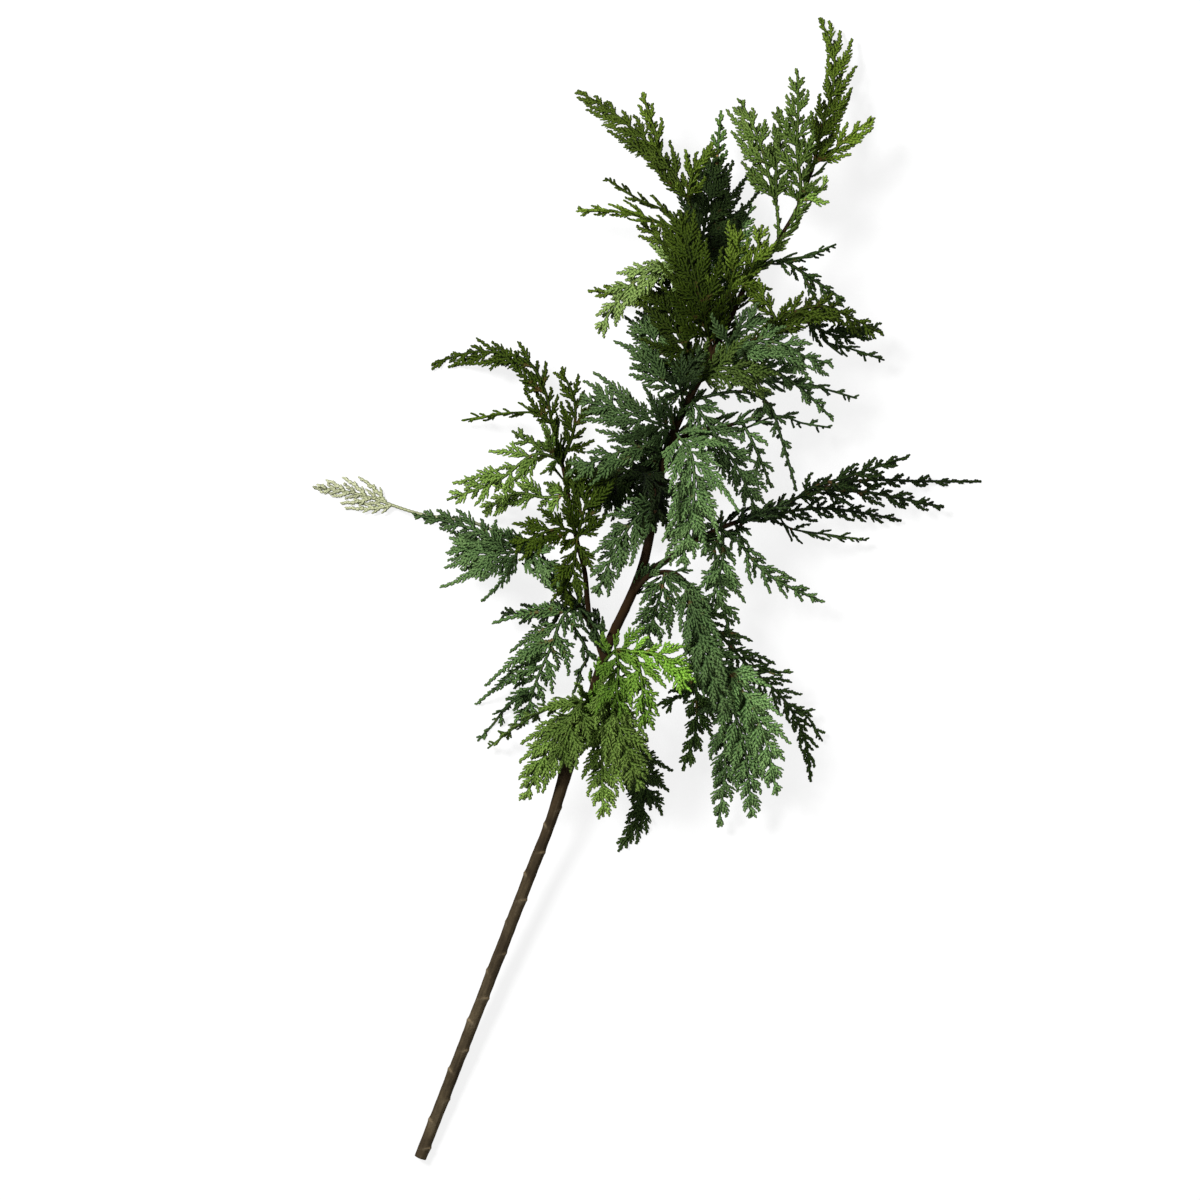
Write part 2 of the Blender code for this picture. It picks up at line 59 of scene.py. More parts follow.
# A piece of wood is the points (x, y, z, radius) of its axis.
WOOD = {
    "main_stem": [
        (-173, -433, 4.7, 4.7), (-126, -312, 15, 4.7), (-91, -221, 26, 4.6), (-74, -177, 34, 4.3),
        (-62, -139, 41, 4.8), (-44, -87, 49, 4.2), (-31, -45, 54, 3.8), (-7, 9, 60, 3.6), (3, 51, 62, 3.5),
        (11, 95, 63, 3.3), (25, 131, 64, 3.1), (47, 174, 64, 2.8), (67, 215, 62, 2.3), (77, 236, 60, 1.8),
    ],
    "right_twig": [
        (-7, 9, 60, 2.6), (14, 21, 58, 2.4), (38, 37, 54, 2.1), (65, 49, 50, 1.8), (87, 55, 46, 1.4),
    ],
    "left_lower_twig": [
        (-34, -52, 54, 2.8), (-42, -30, 50, 2.6), (-54, -12, 46, 2.2), (-73, 7, 42, 1.9), (-93, 28, 38, 1.6),
        (-110, 40, 34, 1.2),
    ],
    "left_upper_twig": [
        (-44, -28, 49.5, 1.8), (-46, -9, 56, 2.1), (-48, 12, 58, 1.9), (-54, 36, 56, 1.8), (-59, 62, 53, 1.6),
        (-65, 94, 49, 1.5), (-72, 120, 44, 1.2),
    ],
    "arching_twig": [
        (-13, -6, 58, 2.3), (1, 9, 68, 2.1), (20, 10, 76, 1.9), (33, -7, 76, 1.8), (40, -32, 72, 1.6),
        (49, -57, 66, 1.3),
    ],
    "crown_right_twig": [
        (72, 226, 61, 1.8), (85, 243, 63, 1.7), (97, 260, 62, 1.6), (111, 284, 60, 1.4), (122, 311, 55, 1.1),
    ],
    "crown_left_twig": [
        (47, 174, 64, 2.1), (40, 211, 72, 1.9), (36, 248, 74, 1.6), (31, 284, 68, 1.3),
    ],
    "right_upper_twig": [
        (42, 164, 64, 2.1), (64, 177, 68, 1.9), (89, 189, 66, 1.6), (113, 200, 60, 1.2),
    ],
    "right_middle_twig": [
        (17, 110, 63, 2.0), (38, 117, 61, 1.8), (61, 122, 56, 1.5), (80, 127, 50, 1.1),
    ],
}

# How side shoots grow: millimetres between those on one side of a midrib, millimetres between the branchlets
# on one side of a shoot, how long the longest of them is, as a share of the shoot, and the degrees between
# shoot and midrib, at the midrib's foot and at its tip.
Habit = namedtuple("Habit", "shoot_pitch twig_pitch twig_share foot_angle tip_angle")
CLOSE = Habit(9.8, 4.8, 0.36, 33, 19)
COMMON = Habit(11.4, 5.0, 0.35, 33, 19)
OPEN = Habit(13.0, 5.4, 0.32, 37, 22)
SPIKY = Habit(10.0, 8.0, 0.18, 32, 20)
SLENDER = Habit(10.6, 4.8, 0.24, 23, 14)
COMBED = Habit(12.5, 5.6, 0.24, 27, 17)

# A spray is its name, its tint, its habit and its fronds, of which the others fork from the first. A frond is
# how far its side shoots reach to its left and to its right, its roll in degrees (0 lies flat, 90 stands on
# edge), how light it is against the tint, which holds both its own colour and painted light and shade, and
# the points (x, y, z) of its midrib.
SPRAYS = [
    ("crown_tip_spray", "olive", SLENDER, [
        (10, 15, 0, 1.3, [
            (122, 311, 55), (130, 344, 44), (139, 376, 30), (141, 400, 18), (137, 418, 6), (130, 434, 0),
        ]),
        (7, 10, 20, 1.9, [(137, 326, 56), (152, 340, 50), (169, 353, 40)]),
    ]),
    ("crown_fan_spray", "meadow", COMMON, [
        (3, 3, 10, 0.82, [(97, 260, 62), (96, 279, 68), (92, 301, 68)]),
        (20, 12, 10, 0.65, [(87, 318, 66), (80, 341, 58), (69, 366, 44)]),
        (10, 10, 0, 0.5, [(95, 319, 72), (98, 338, 70), (96, 360, 62)]),
    ]),
    ("crown_middle_spray", "meadow", COMMON, [
        (15, 14, 0, 0.65, [(112, 286, 60), (113, 302, 72), (110, 326, 78), (111, 355, 76), (111, 387, 62)]),
        (8, 8, 0, 1.5, [(122, 291, 66), (134, 305, 64)]),
    ]),
    ("crown_left_spray", "olive", SLENDER, [
        (15, 9, 0, 0.7, [
            (31, 284, 68), (19, 309, 66), (1, 332, 52), (-27, 359, 26), (-46, 373, 6), (-54, 379, 0),
        ]),
        (10, 12, 0, 1.4, [(30, 298, 82), (35, 314, 88), (50, 326, 84)]),
        (6, 6, 0, 1.5, [(5, 339, 60), (0, 356, 54), (-5, 372, 44)]),
    ]),
    ("crown_dark_spray", "shade", CLOSE, [
        (26, 33, 0, 1, [(37, 243, 73), (41, 266, 56), (45, 291, 46), (49, 322, 38)]),
        (6, 7, 0, 5, [(51, 318, 36), (53, 339, 30), (55, 361, 26)]),
    ]),
    ("left_blade_spray", "olive", SLENDER, [
        (7, 7, 78, 0.72, [(36, 251, 74), (14, 279, 70), (-7, 290, 60), (-33, 308, 46)]),
        (8, 10, 68, 1.9, [(14, 270, 62), (-18, 281, 50), (-54, 284, 34)]),
    ]),
    ("left_shoulder_spray", "olive", SLENDER, [
        (12, 12, 10, 0.85, [(39, 218, 72), (25, 244, 56), (9, 261, 42), (-6, 276, 28)]),
        (9, 10, 30, 1.1, [(14, 216, 50), (-14, 221, 36), (-46, 225, 20)]),
    ]),
    ("light_left_spray", "pale", COMMON, [
        (17, 14, 0, 1.25, [
            (35, 220, 73), (24, 239, 86), (5, 237, 86), (-16, 223, 74), (-29, 206, 62), (-38, 190, 50),
        ]),
    ]),
    ("heart_front_spray", "dark_olive", CLOSE, [
        (27, 22, 0, 0.9, [(46, 181, 66), (39, 209, 94), (31, 240, 102), (24, 278, 92)]),
        (12, 9, 0, 2.4, [(47, 188, 72), (50, 198, 77), (51, 208, 76)]),
    ]),
    ("heart_left_spray", "dark_olive", CLOSE, [
        (20, 18, -10, 0.62, [(43, 164, 64), (26, 180, 78), (16, 205, 74), (11, 238, 70)]),
    ]),
    ("crown_blue_spray", "blue_shade", CLOSE, [
        (20, 15, 0, 1.7, [(55, 189, 64), (52, 223, 52), (64, 257, 44), (78, 288, 30)]),
    ]),
    ("crown_front_spray", "olive", COMMON, [
        (15, 10, 0, 1.15, [(62, 206, 63), (60, 223, 92), (66, 248, 94), (63, 270, 86)]),
        (12, 14, 0, 1.5, [(73, 231, 84), (80, 250, 88), (84, 270, 84)]),
    ]),
    ("right_spike_spray", "shade", SPIKY, [
        (8, 8, 75, 2.2, [(79, 238, 60), (95, 244, 66), (118, 248, 60), (141, 258, 46)]),
        (6, 14, 0, 2.2, [(102, 243, 70), (122, 231, 62), (148, 215, 44)]),
    ]),
    ("right_wing_spray", "olive", COMMON, [
        (10, 16, 0, 0.78, [(89, 189, 66), (106, 204, 76), (129, 210, 70), (152, 202, 56), (176, 191, 40)]),
        (15, 14, 0, 1.1, [(94, 200, 80), (85, 214, 84), (76, 222, 84)]),
    ]),
    ("right_wing_low_spray", "shade", COMBED, [
        (14, 10, 0, 1.3, [(113, 202, 60), (135, 191, 46), (153, 189, 36), (175, 196, 22)]),
        (6, 7, 60, 1.6, [(133, 185, 42), (156, 179, 34), (179, 172, 22)]),
    ]),
    ("right_blue_arch", "blue", COMMON, [
        (12, 21, 0, 1.2, [(49, 169, 65), (71, 181, 92), (97, 181, 92), (117, 171, 82), (137, 167, 68)]),
        (18, 15, 0, 0.7, [(60, 183, 92), (70, 194, 96), (83, 203, 94)]),
    ]),
    ("right_blue_low_spray", "blue", COMMON, [
        (12, 9, 0, 1.15, [(53, 171, 66), (84, 165, 74), (111, 151, 62), (139, 126, 44)]),
        (9, 9, 72, 1.05, [(84, 156, 50), (118, 153, 42), (158, 143, 26)]),
    ]),
    ("right_meadow_patch", "meadow", COMMON, [
        (21, 20, 0, 0.5, [(38, 157, 64), (51, 163, 88), (69, 160, 94), (87, 145, 86)]),
    ]),
    ("right_hanging_spray", "blue", OPEN, [
        (7, 8, 0, 0.7, [(31, 140, 64), (66, 146, 74), (89, 137, 70), (100, 109, 60), (111, 72, 50)]),
    ]),
    ("right_middle_spray", "blue", OPEN, [
        (10, 9, 0, 1.7, [(70, 124, 53), (77, 111, 52), (85, 94, 44), (93, 75, 30)]),
        (8, 8, 60, 0.9, [(97, 129, 44), (116, 124, 36), (138, 121, 24)]),
    ]),
    ("left_blue_top_spray", "blue_shade", COMMON, [
        (24, 21, 0, 1.15, [(38, 155, 64), (20, 168, 67), (5, 184, 60), (-6, 207, 48)]),
    ]),
    ("left_blue_high_spray", "blue_shade", COMMON, [
        (15, 21, 0, 0.95, [(31, 143, 64), (14, 150, 76), (1, 161, 75), (-8, 177, 66)]),
        (14, 14, 0, 0.5, [(23, 151, 90), (30, 164, 94), (39, 176, 90)]),
    ]),
    ("left_blue_fan", "blue", COMMON, [
        (22, 24, 0, 0.77, [(21, 118, 64), (-1, 124, 94), (-26, 133, 92), (-51, 139, 80)]),
    ]),
    ("left_blue_low_spray", "blue_shade", COMMON, [
        (18, 15, 0, 1.2, [(13, 99, 63), (-7, 105, 82), (-34, 96, 80), (-60, 87, 68)]),
    ]),
    ("left_dark_spray", "shade", CLOSE, [
        (26, 30, 0, 0.85, [(10, 86, 63), (-6, 93, 44), (-23, 80, 34), (-38, 62, 22)]),
        (22, 18, 0, 0.5, [(4, 72, 42), (-3, 57, 32), (-8, 39, 20)]),
        (14, 14, 0, 0.4, [(-4, 85, 78), (8, 74, 86), (7, 59, 84), (4, 43, 76)]),
    ]),
    ("centre_left_spray", "blue", COMMON, [
        (18, 18, 0, 1, [(5, 62, 62), (-11, 50, 84), (-26, 26, 82), (-39, -5, 70)]),
    ]),
    ("centre_front_spray", "blue", COMMON, [
        (26, 27, 0, 1.4, [(20, 116, 64), (31, 98, 100), (33, 72, 104), (30, 46, 92), (24, 18, 74)]),
    ]),
    ("centre_right_spray", "blue", COMMON, [
        (17, 15, 0, 0.85, [(31, 142, 64), (51, 111, 82), (68, 85, 76), (82, 54, 54)]),
    ]),
    ("right_long_spray", "shade", COMBED, [
        (7, 8, 0, 0.75, [
            (87, 55, 46), (120, 71, 40), (160, 81, 28), (206, 81, 8), (234, 81, 0), (254, 81, 0),
        ]),
        (9, 10, 0, 1.05, [(122, 75, 50), (145, 82, 50), (169, 90, 44), (196, 99, 34)]),
        (9, 10, 0, 0.8, [(134, 74, 37), (166, 72, 29), (194, 67, 19), (225, 61, 10)]),
    ]),
    ("right_long_low_spray", "shade", SPIKY, [
        (9, 10, 0, 0.8, [(80, 53, 47), (126, 60, 27), (161, 57, 14), (193, 51, 4)]),
        (8, 10, 60, 1.8, [(107, 45, 30), (138, 40, 20), (166, 36, 10)]),
    ]),
    ("right_drop_outer_spray", "blue_shade", SPIKY, [
        (11, 10, 0, 1.8, [(65, 49, 50), (73, 27, 58), (94, 7, 48), (132, -11, 26)]),
        (8, 8, 0, 0.6, [(74, 51, 62), (89, 58, 62), (106, 64, 58)]),
    ]),
    ("right_drop_inner_spray", "blue", OPEN, [
        (16, 16, 0, 1.5, [(55, 46, 52), (55, 22, 67), (50, 1, 62), (46, -23, 50)]),
        (10, 10, 0, 0.5, [(49, 48, 62), (41, 55, 66), (37, 65, 68)]),
    ]),
    ("right_drop_low_spray", "blue_shade", OPEN, [
        (16, 11, 0, 3, [(47, 42, 53), (54, 0, 40), (60, -29, 30), (66, -49, 18)]),
    ]),
    ("arch_long_spray", "blue", CLOSE, [
        (18, 16, 0, 1.65, [(49, -57, 66), (62, -87, 60), (73, -126, 46), (78, -174, 22)]),
        (14, 12, 0, 1.1, [(55, -93, 52), (58, -133, 36), (53, -182, 12)]),
    ]),
    ("arch_top_spray", "blue", SLENDER, [
        (14, 14, 0, 1, [(26, 7, 76), (35, -26, 90), (44, -60, 86), (59, -94, 76)]),
    ]),
    ("arch_left_spray", "blue_shade", COMMON, [
        (18, 16, 0, 1.35, [(12, 12, 74), (9, -3, 80), (4, -20, 68), (-2, -43, 46)]),
    ]),
    ("arch_right_spray", "blue", COMMON, [
        (16, 15, 0, 2, [(44, -45, 69), (69, -76, 72), (86, -110, 62), (97, -157, 38)]),
    ]),
    ("arch_dark_spray", "shade", CLOSE, [
        (16, 12, 0, 4.4, [(40, -32, 72), (36, -69, 44), (36, -107, 26), (26, -138, 12)]),
        (8, 9, 30, 2.4, [(25, -80, 38), (10, -91, 36)]),
    ]),
    ("arch_outer_spray", "shade", SPIKY, [
        (15, 14, 0, 2.2, [(35, -14, 74), (73, -57, 50), (103, -85, 20), (119, -114, 2), (124, -148, 0)]),
        (6, 6, 40, 3, [(91, -63, 40), (107, -64, 34)]),
        (6, 6, 40, 2.4, [(120, -97, 14), (133, -117, 3)]),
    ]),
    ("left_fan_spray", "blue_shade", OPEN, [
        (18, 39, 0, 1.9, [
            (-54, -12, 46), (-65, -23, 52), (-73, -44, 44), (-82, -64, 30), (-89, -84, 12),
            (-93, -104, 0),
        ]),
        (9, 10, 0, 0.4, [(-73, -19, 38), (-91, -20, 30), (-112, -19, 20)]),
        (8, 6, 30, 1.7, [(-105, -88, 14), (-118, -104, 1), (-130, -117, 0)]),
        (8, 10, 0, 0.6, [(-48, -18, 60), (-39, -33, 62), (-34, -48, 60)]),
        (6, 6, 0, 0.9, [(-46, -48, 50), (-51, -62, 42), (-56, -79, 30)]),
    ]),
    ("left_wing_spray", "faded", SPIKY, [
        (12, 12, 0, 0.85, [
            (-110, 40, 34), (-135, 50, 28), (-173, 56, 14), (-212, 69, 0), (-234, 74, 0), (-254, 76, 0),
        ]),
    ]),
    ("left_cluster_spray", "blue", CLOSE, [
        (32, 22, 0, 1.1, [(-93, 28, 38), (-110, 26, 58), (-130, 27, 50), (-148, 31, 36)]),
        (9, 10, 0, 0.8, [(-123, 40, 56), (-149, 49, 46), (-177, 55, 36)]),
        (14, 15, 0, 1.1, [(-84, 24, 62), (-72, 13, 64), (-59, 0, 62)]),
    ]),
    ("left_arc_spray", "dark_olive", COMBED, [
        (20, 8, 0, 1, [
            (-72, 120, 44), (-78, 148, 46), (-92, 171, 38), (-124, 179, 16), (-147, 176, 2),
            (-165, 170, 0),
        ]),
        (8, 8, 75, 2.6, [(-88, 132, 34), (-112, 131, 24), (-142, 127, 10)]),
    ]),
    ("left_upright_spray", "dark_olive", OPEN, [
        (15, 15, 0, 1, [(-65, 94, 49), (-56, 118, 64), (-56, 142, 64), (-66, 163, 52)]),
    ]),
    ("left_light_spray", "meadow", OPEN, [
        (16, 20, 0, 1.2, [(-65, 96, 49), (-86, 99, 72), (-113, 80, 62), (-152, 66, 40)]),
        (9, 10, 0, 0.65, [(-75, 107, 60), (-89, 109, 58), (-103, 118, 48)]),
    ]),
    ("left_middle_spray", "meadow", COMMON, [
        (15, 15, 0, 1.9, [(-60, 70, 52), (-78, 68, 38), (-101, 71, 28), (-126, 57, 14)]),
    ]),
    ("left_olive_spray", "dark_olive", COMMON, [
        (21, 18, 0, 0.95, [(-54, 36, 56), (-48, 59, 66), (-42, 78, 60), (-36, 91, 50)]),
        (20, 16, 0, 1.15, [(-66, 44, 70), (-81, 40, 68), (-99, 31, 56)]),
        (15, 14, 0, 1.1, [(-57, 13, 72), (-62, 0, 68), (-62, -14, 58)]),
    ]),
    ("bright_spray", "bright", COMMON, [
        (18, 16, 0, 0.88, [(-34, -56, 54), (-23, -46, 84), (-10, -51, 99), (-5, -76, 101), (-3, -105, 92)]),
        (14, 15, 0, 1.5, [(0, -48, 106), (15, -54, 102), (29, -76, 96)]),
        (15, 18, 0, 0.62, [(-23, -60, 94), (-24, -77, 94), (-20, -94, 90)]),
    ]),
    ("lower_middle_spray", "meadow", CLOSE, [
        (20, 21, 0, 0.9, [(-38, -71, 51), (-32, -76, 77), (-20, -110, 79), (-7, -150, 62)]),
        (18, 16, 0, 1.55, [(-33, -96, 66), (-35, -133, 56), (-34, -173, 36)]),
    ]),
    ("lower_left_spray", "meadow", CLOSE, [
        (18, 18, 0, 1.25, [(-43, -84, 49), (-55, -90, 74), (-74, -118, 64), (-94, -160, 42)]),
        (18, 16, 0, 0.68, [(-51, -90, 76), (-61, -111, 86), (-65, -134, 76)]),
        (6, 9, 60, 0.85, [(-70, -89, 50), (-97, -103, 30), (-122, -122, 8)]),
    ]),
    ("lower_dark_spray", "shade", CLOSE, [
        (17, 18, 0, 1.4, [(-47, -96, 48), (-20, -119, 32), (-3, -149, 14), (-8, -178, 2), (-23, -201, 0)]),
    ]),
]

LINE_STEP = 0.5  # between the points of a midrib's line
SPLINE_STEPS = 24  # of a smooth curve, between two of the points that it goes through
LOWEST = 0.7  # no midline of a branchlet is lower than this above the table
HIGHEST = 123.4  # or higher than this
TABLE_GAP = 0.05  # and no point of a spray is lower than this
FORK_AT = 5  # a fork starts at least this far up the first frond
FORK_LEAD = 0.8  # how early it starts, as a share of its distance from the first frond

# The share of a first frond, from its foot, that has no shoots, and how much wider the others are, in the
# sprays where these aren't 0 and 1.
SPARSE = {"left_wing_spray": (0.60, 1.6), "bright_spray": (0.15, 1)}


# ---- lines

def curve_through(points, step):
    """A smooth line (a Catmull-Rom spline) through the points, as points step apart, with its ends kept."""
    p = np.array(points, float)
    p = np.vstack([2 * p[0] - p[1], p, 2 * p[-1] - p[-2]])
    t = np.linspace(0, 1, SPLINE_STEPS, endpoint=False)[:, None]
    fine = [
        0.5 * (2 * b + (c - a) * t + (2 * a - 5 * b + 4 * c - d) * t**2 + (3 * b - a - 3 * c + d) * t**3)
        for a, b, c, d in zip(p, p[1:], p[2:], p[3:])
    ]
    return resampled(np.vstack([*fine, p[-2:-1]]), step)


def lengths_along(line):
    return np.concatenate([[0], np.cumsum(np.linalg.norm(np.diff(line[:, :3], axis=0), axis=1))])


def resampled(line, step):
    """The same line with its points an even distance apart. Values after x, y, z are carried along."""
    along = lengths_along(line)
    count = max(3, round(along[-1] / step))
    at = np.linspace(0, along[-1], count + 1)
    return np.column_stack([np.interp(at, along, column) for column in line.T])


def unit(v):
    return v / np.maximum(np.linalg.norm(v, axis=-1, keepdims=True), 1e-9)


def tangents(line):
    return unit(np.gradient(line[:, :3], axis=0))


def across(tangent, roll):
    """The direction to the right of a midrib, in the plane of a frond that is turned by roll degrees."""
    level = unit(np.cross(tangent, UP))
    turn = math.radians(roll)
    return level * math.cos(turn) + np.cross(level, tangent) * math.sin(turn)


def turned(tangent, side, degrees):
    turn = math.radians(degrees)
    return tangent * math.cos(turn) + side * math.sin(turn)


def above_table(p):
    return np.array((p[0], p[1], min(max(p[2], LOWEST), HIGHEST)))


def bent(foot, first, second):
    """The control points of a midline that makes two steps from its foot."""
    middle = foot + first
    return foot, above_table(middle), above_table(middle + second)


def bend_at(bend, t):
    """The point and direction at a share of a branchlet's midline, which is a quadratic curve."""
    a, b, c = bend
    return (1 - t) ** 2 * a + 2 * t * (1 - t) * b + t**2 * c, unit(2 * (1 - t) * (b - a) + 2 * t * (c - b))


def bend_length(bend):
    return np.linalg.norm(bend[1] - bend[0]) + np.linalg.norm(bend[2] - bend[1])


# ---- pieces

def new_object(name, data):
    made = bpy.data.objects.new(name, data)
    bpy.context.scene.collection.objects.link(made)
    return made


def tube_faces(rings, sides):
    """The squares between the rings of a tube, whose points run round one ring after another."""
    k = np.arange(rings - 1)[:, None] * sides
    i = np.arange(sides)[None]
    j = (i + 1) % sides
    return np.stack([k + i, k + j, k + sides + j, k + sides + i], axis=-1).reshape(-1, 4)


def stand_in(node, points, faces, looks, **marks):
    """Makes the piece that stands for the CAD node of that name, and hides that node. Each of the marks is
    a number or a vector for every point, which the material reads. Returns the mesh."""
    mesh = bpy.data.meshes.new(node)
    mesh.from_pydata((points * MM).tolist(), [], faces)
    for label, values in marks.items():
        kind, field = ("FLOAT_VECTOR", "vector") if values.ndim == 2 else ("FLOAT", "value")
        mesh.attributes.new(label, kind, "POINT").data.foreach_set(field, values.ravel())
    mesh.shade_smooth()
    for look in looks:
        mesh.materials.append(look)
    piece = new_object(node + ("_bark" if slots[node] == "bark" else "_leaves"), mesh)
    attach(piece, "root")
    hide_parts(node)
    return mesh


# ---- branchlets

# The scale leaves of a branchlet and of a midrib: their length, where a leaf is widest, as a share of it, and
# how wide the branchlet is at a leaf's foot and where the leaf is widest, against its own width.
Leaf = namedtuple("Leaf", "length widest swell")
TWIG_LEAF = Leaf(2.9, 0.7, (0.68, 1.1))
MIDRIB_LEAF = Leaf(3.4, 0.78, (0.8, 1.05))
LAST_SWELL = 0.62  # of the last leaf of a branchlet
PAST_WIDEST = 0.3  # from where the last leaf is widest to its point, in leaves
ROUNDNESS = 0.3  # how much of a branchlet's thickness follows its width


def leaf_rings(leaf, length, fewest):
    """Where a branchlet has rings, as shares of its length and counted in leaves, and how wide each is."""
    leaves = max(fewest, round(length / leaf.length))
    feet = np.arange(leaves)
    at = np.sort(np.concatenate([feet, feet + leaf.widest])) / leaves
    return at, at * leaves, np.tile(leaf.swell, leaves)


class Spray:
    """The points and faces of a spray's branchlets, which make one mesh. A branchlet is a flattened tube of
    four sides, with a ring of points at the foot of each scale leaf and where the leaf is widest.

    Each point carries leaf = (leaf number along the branchlet, 0 to 1 across it, 0 old to 1 young), tone,
    which is the same all over one branchlet and darkens it, at random and with painted shade on the short
    shoots that lie below, and shade, which is the same all over one frond and is a factor on its green that
    holds the frond's own colour together with painted light and shade. rng is the spray's own source of
    chance, and habit is how its side shoots grow."""

    def __init__(self, name, habit):
        self.rng = random.Random(name)
        self.habit = habit
        self.shade = 1
        self.points = []
        self.faces = []
        self.leaves = []
        self.tones = []
        self.shades = []
        self.count = 0

    def add(self, bend, normal, half_width, half_thick, age, tone, taper):
        """Adds a branchlet. bend is the three control points of its midline, normal the way up of its flat
        side, age how young it is at its foot and at its tip, and taper how much narrower its tip is."""
        at, leaf_at, swell = leaf_rings(TWIG_LEAF, bend_length(bend), 2)
        swell[-1] = LAST_SWELL
        line, along = bend_at(bend, at[:, None])
        widths = half_width * swell * (1 - taper * at)
        ages = age[0] + (age[1] - age[0]) * at
        self.add_rings(line, along, bend[2], normal, widths, half_thick, leaf_at, ages, tone)

    def add_rings(self, line, along, tip, normal, widths, half_thick, leaf_at, ages, tone):
        side = unit(np.cross(normal, along))
        up = np.cross(along, side)
        wide = side * widths[:, None]
        thick = up * (half_thick * (1 - ROUNDNESS + ROUNDNESS * widths / widths.max()))[:, None]
        rings = np.stack([line + wide, line + thick, line - wide, line - thick], axis=1).reshape(-1, 3)
        n = len(line)
        self.points.append(np.vstack([rings, tip[None]]))
        base = self.count
        self.faces.extend((tube_faces(n, 4) + base).tolist())
        last = base + 4 * (n - 1)
        point = base + 4 * n
        self.faces.extend([[last + i, last + (i + 1) % 4, point] for i in range(4)])
        self.faces.append([base + 3, base + 2, base + 1, base])
        marks = np.empty((4 * n + 1, 3))
        marks[:-1, 0] = np.repeat(leaf_at, 4)
        marks[:-1, 1] = np.tile((0, 0.5, 1, 0.5), n)
        marks[:-1, 2] = np.repeat(ages, 4)
        marks[-1] = (leaf_at[-1] + PAST_WIDEST, 0.5, ages[-1])
        self.leaves.append(marks)
        self.tones.append(np.full(4 * n + 1, tone))
        self.shades.append(np.full(4 * n + 1, self.shade, float))
        self.count += 4 * n + 1

    def finish(self, name, tint):
        points = np.vstack(self.points)
        points[:, 2] = np.maximum(points[:, 2], TABLE_GAP)
        leaf, tone, shade = (np.concatenate(marks) for marks in (self.leaves, self.tones, self.shades))
        stand_in(name, points, self.faces, [leaf_look(tint)], leaf=leaf, tone=tone, shade=shade)


# The branchlets of a side shoot. Angles are in degrees, ages run from 0, old, to 1, young, a RANGE is drawn
# between its two ends, and a GIRTH is half the width and half the thickness.
FIRST_TWIG = 2.2  # at least, from the shoot's foot
LAST_TWIG = 1.4  # at least, from its tip
SHORTEST_TWIG = 2.8
LONGEST_TWIG = 14
TWIG_EXTRA = 3  # added to the longest one's share of the shoot
TWIG_RANGE = (0.75, 1.2)  # how their lengths vary
PITCH_RANGE = (0.82, 1.18)  # and the distances between them
HALF_WIDTH_RANGE = (1.38, 1.68)
HALF_THICK = 0.88
TWIG_TAPER = 0.25
FOOT_ANGLE_RANGE = (35, 46)  # to the shoot
TIP_ANGLE_RANGE = (10, 24)
TILT_RANGE = (-0.24, 0.18)  # slope against the frond's plane
TWIG_SINK = 0.08  # and downward slope of the outer half
TWIG_BEND = (0.45, 0.55)  # shares of the length before and after the bend
TWIST_RANGE = (-0.2, 0.2)  # of the flat side
TONE_RANGE = (-0.15, 0.15)  # against the shoot's tone, which carries painted shade
TWIG_AGE_SPAN = 0.4  # how much younger the tip is than the foot

# The stubs that a long branchlet carries.
STUBS_FROM = 10.5  # the length of such a branchlet, at least
STUBS_AT = (0.3, 0.5, 0.68)  # shares of that length
STUB_RANGE = (0.26, 0.36)  # their own length, as a share of it
STUB_ANGLES = (46, 24)  # to the branchlet, at foot and tip
STUB_GIRTH = (1.4, 0.75)
STUB_AGES = (0.1, 0.5)  # how much younger their foot and tip are than its foot


def grow_twigs(spray, bend, normal, age, tone):
    """The branchlets on both sides of a side shoot, shorter towards its tip. Long ones carry stubs."""
    rng, habit = spray.rng, spray.habit
    length = bend_length(bend)
    longest = min(habit.twig_share * length + TWIG_EXTRA, LONGEST_TWIG)
    at = FIRST_TWIG + rng.uniform(0, 1)
    hand = rng.choice((-1, 1))
    while at < length - LAST_TWIG:
        t = at / length
        foot, along = bend_at(bend, t)
        out = unit(np.cross(normal, along)) * hand
        size = longest * min(1, 0.75 + t) * (1 - t) ** 1.05 * 1.15 * rng.uniform(*TWIG_RANGE)
        size = max(size, SHORTEST_TWIG)
        tilt = normal * rng.uniform(*TILT_RANGE)
        start = unit(turned(along, out, rng.uniform(*FOOT_ANGLE_RANGE)) + tilt)
        end = unit(turned(along, out, rng.uniform(*TIP_ANGLE_RANGE)) + tilt - UP * TWIG_SINK)
        twig = bent(foot, start * size * TWIG_BEND[0], end * size * TWIG_BEND[1])
        young = age[0] + (age[1] - age[0]) * t
        flat = unit(normal + along * rng.uniform(*TWIST_RANGE) + out * rng.uniform(*TWIST_RANGE))
        twig_tone_and_shade = min(max(tone + rng.uniform(*TONE_RANGE), 0), 1)
        width = rng.uniform(*HALF_WIDTH_RANGE)
        ages = (young, min(young + TWIG_AGE_SPAN, 1))
        spray.add(twig, flat, width, HALF_THICK, ages, twig_tone_and_shade, TWIG_TAPER)
        if size > STUBS_FROM:
            grow_stubs(spray, twig, flat, size, young, tone)
        at += habit.twig_pitch / 2 * rng.uniform(*PITCH_RANGE)
        hand = -hand


def grow_stubs(spray, twig, normal, size, young, tone):
    hand = spray.rng.choice((-1, 1))
    for t in STUBS_AT:
        foot, along = bend_at(twig, t)
        out = unit(np.cross(normal, along)) * hand
        length = size * spray.rng.uniform(*STUB_RANGE)
        start, end = (turned(along, out, angle) for angle in STUB_ANGLES)
        stub = bent(foot, start * length * 0.5, end * length * 0.5)
        ages = (young + STUB_AGES[0], min(young + STUB_AGES[1], 1))
        spray.add(stub, normal, *STUB_GIRTH, ages, tone, TWIG_TAPER)
        hand = -hand


# ---- fronds

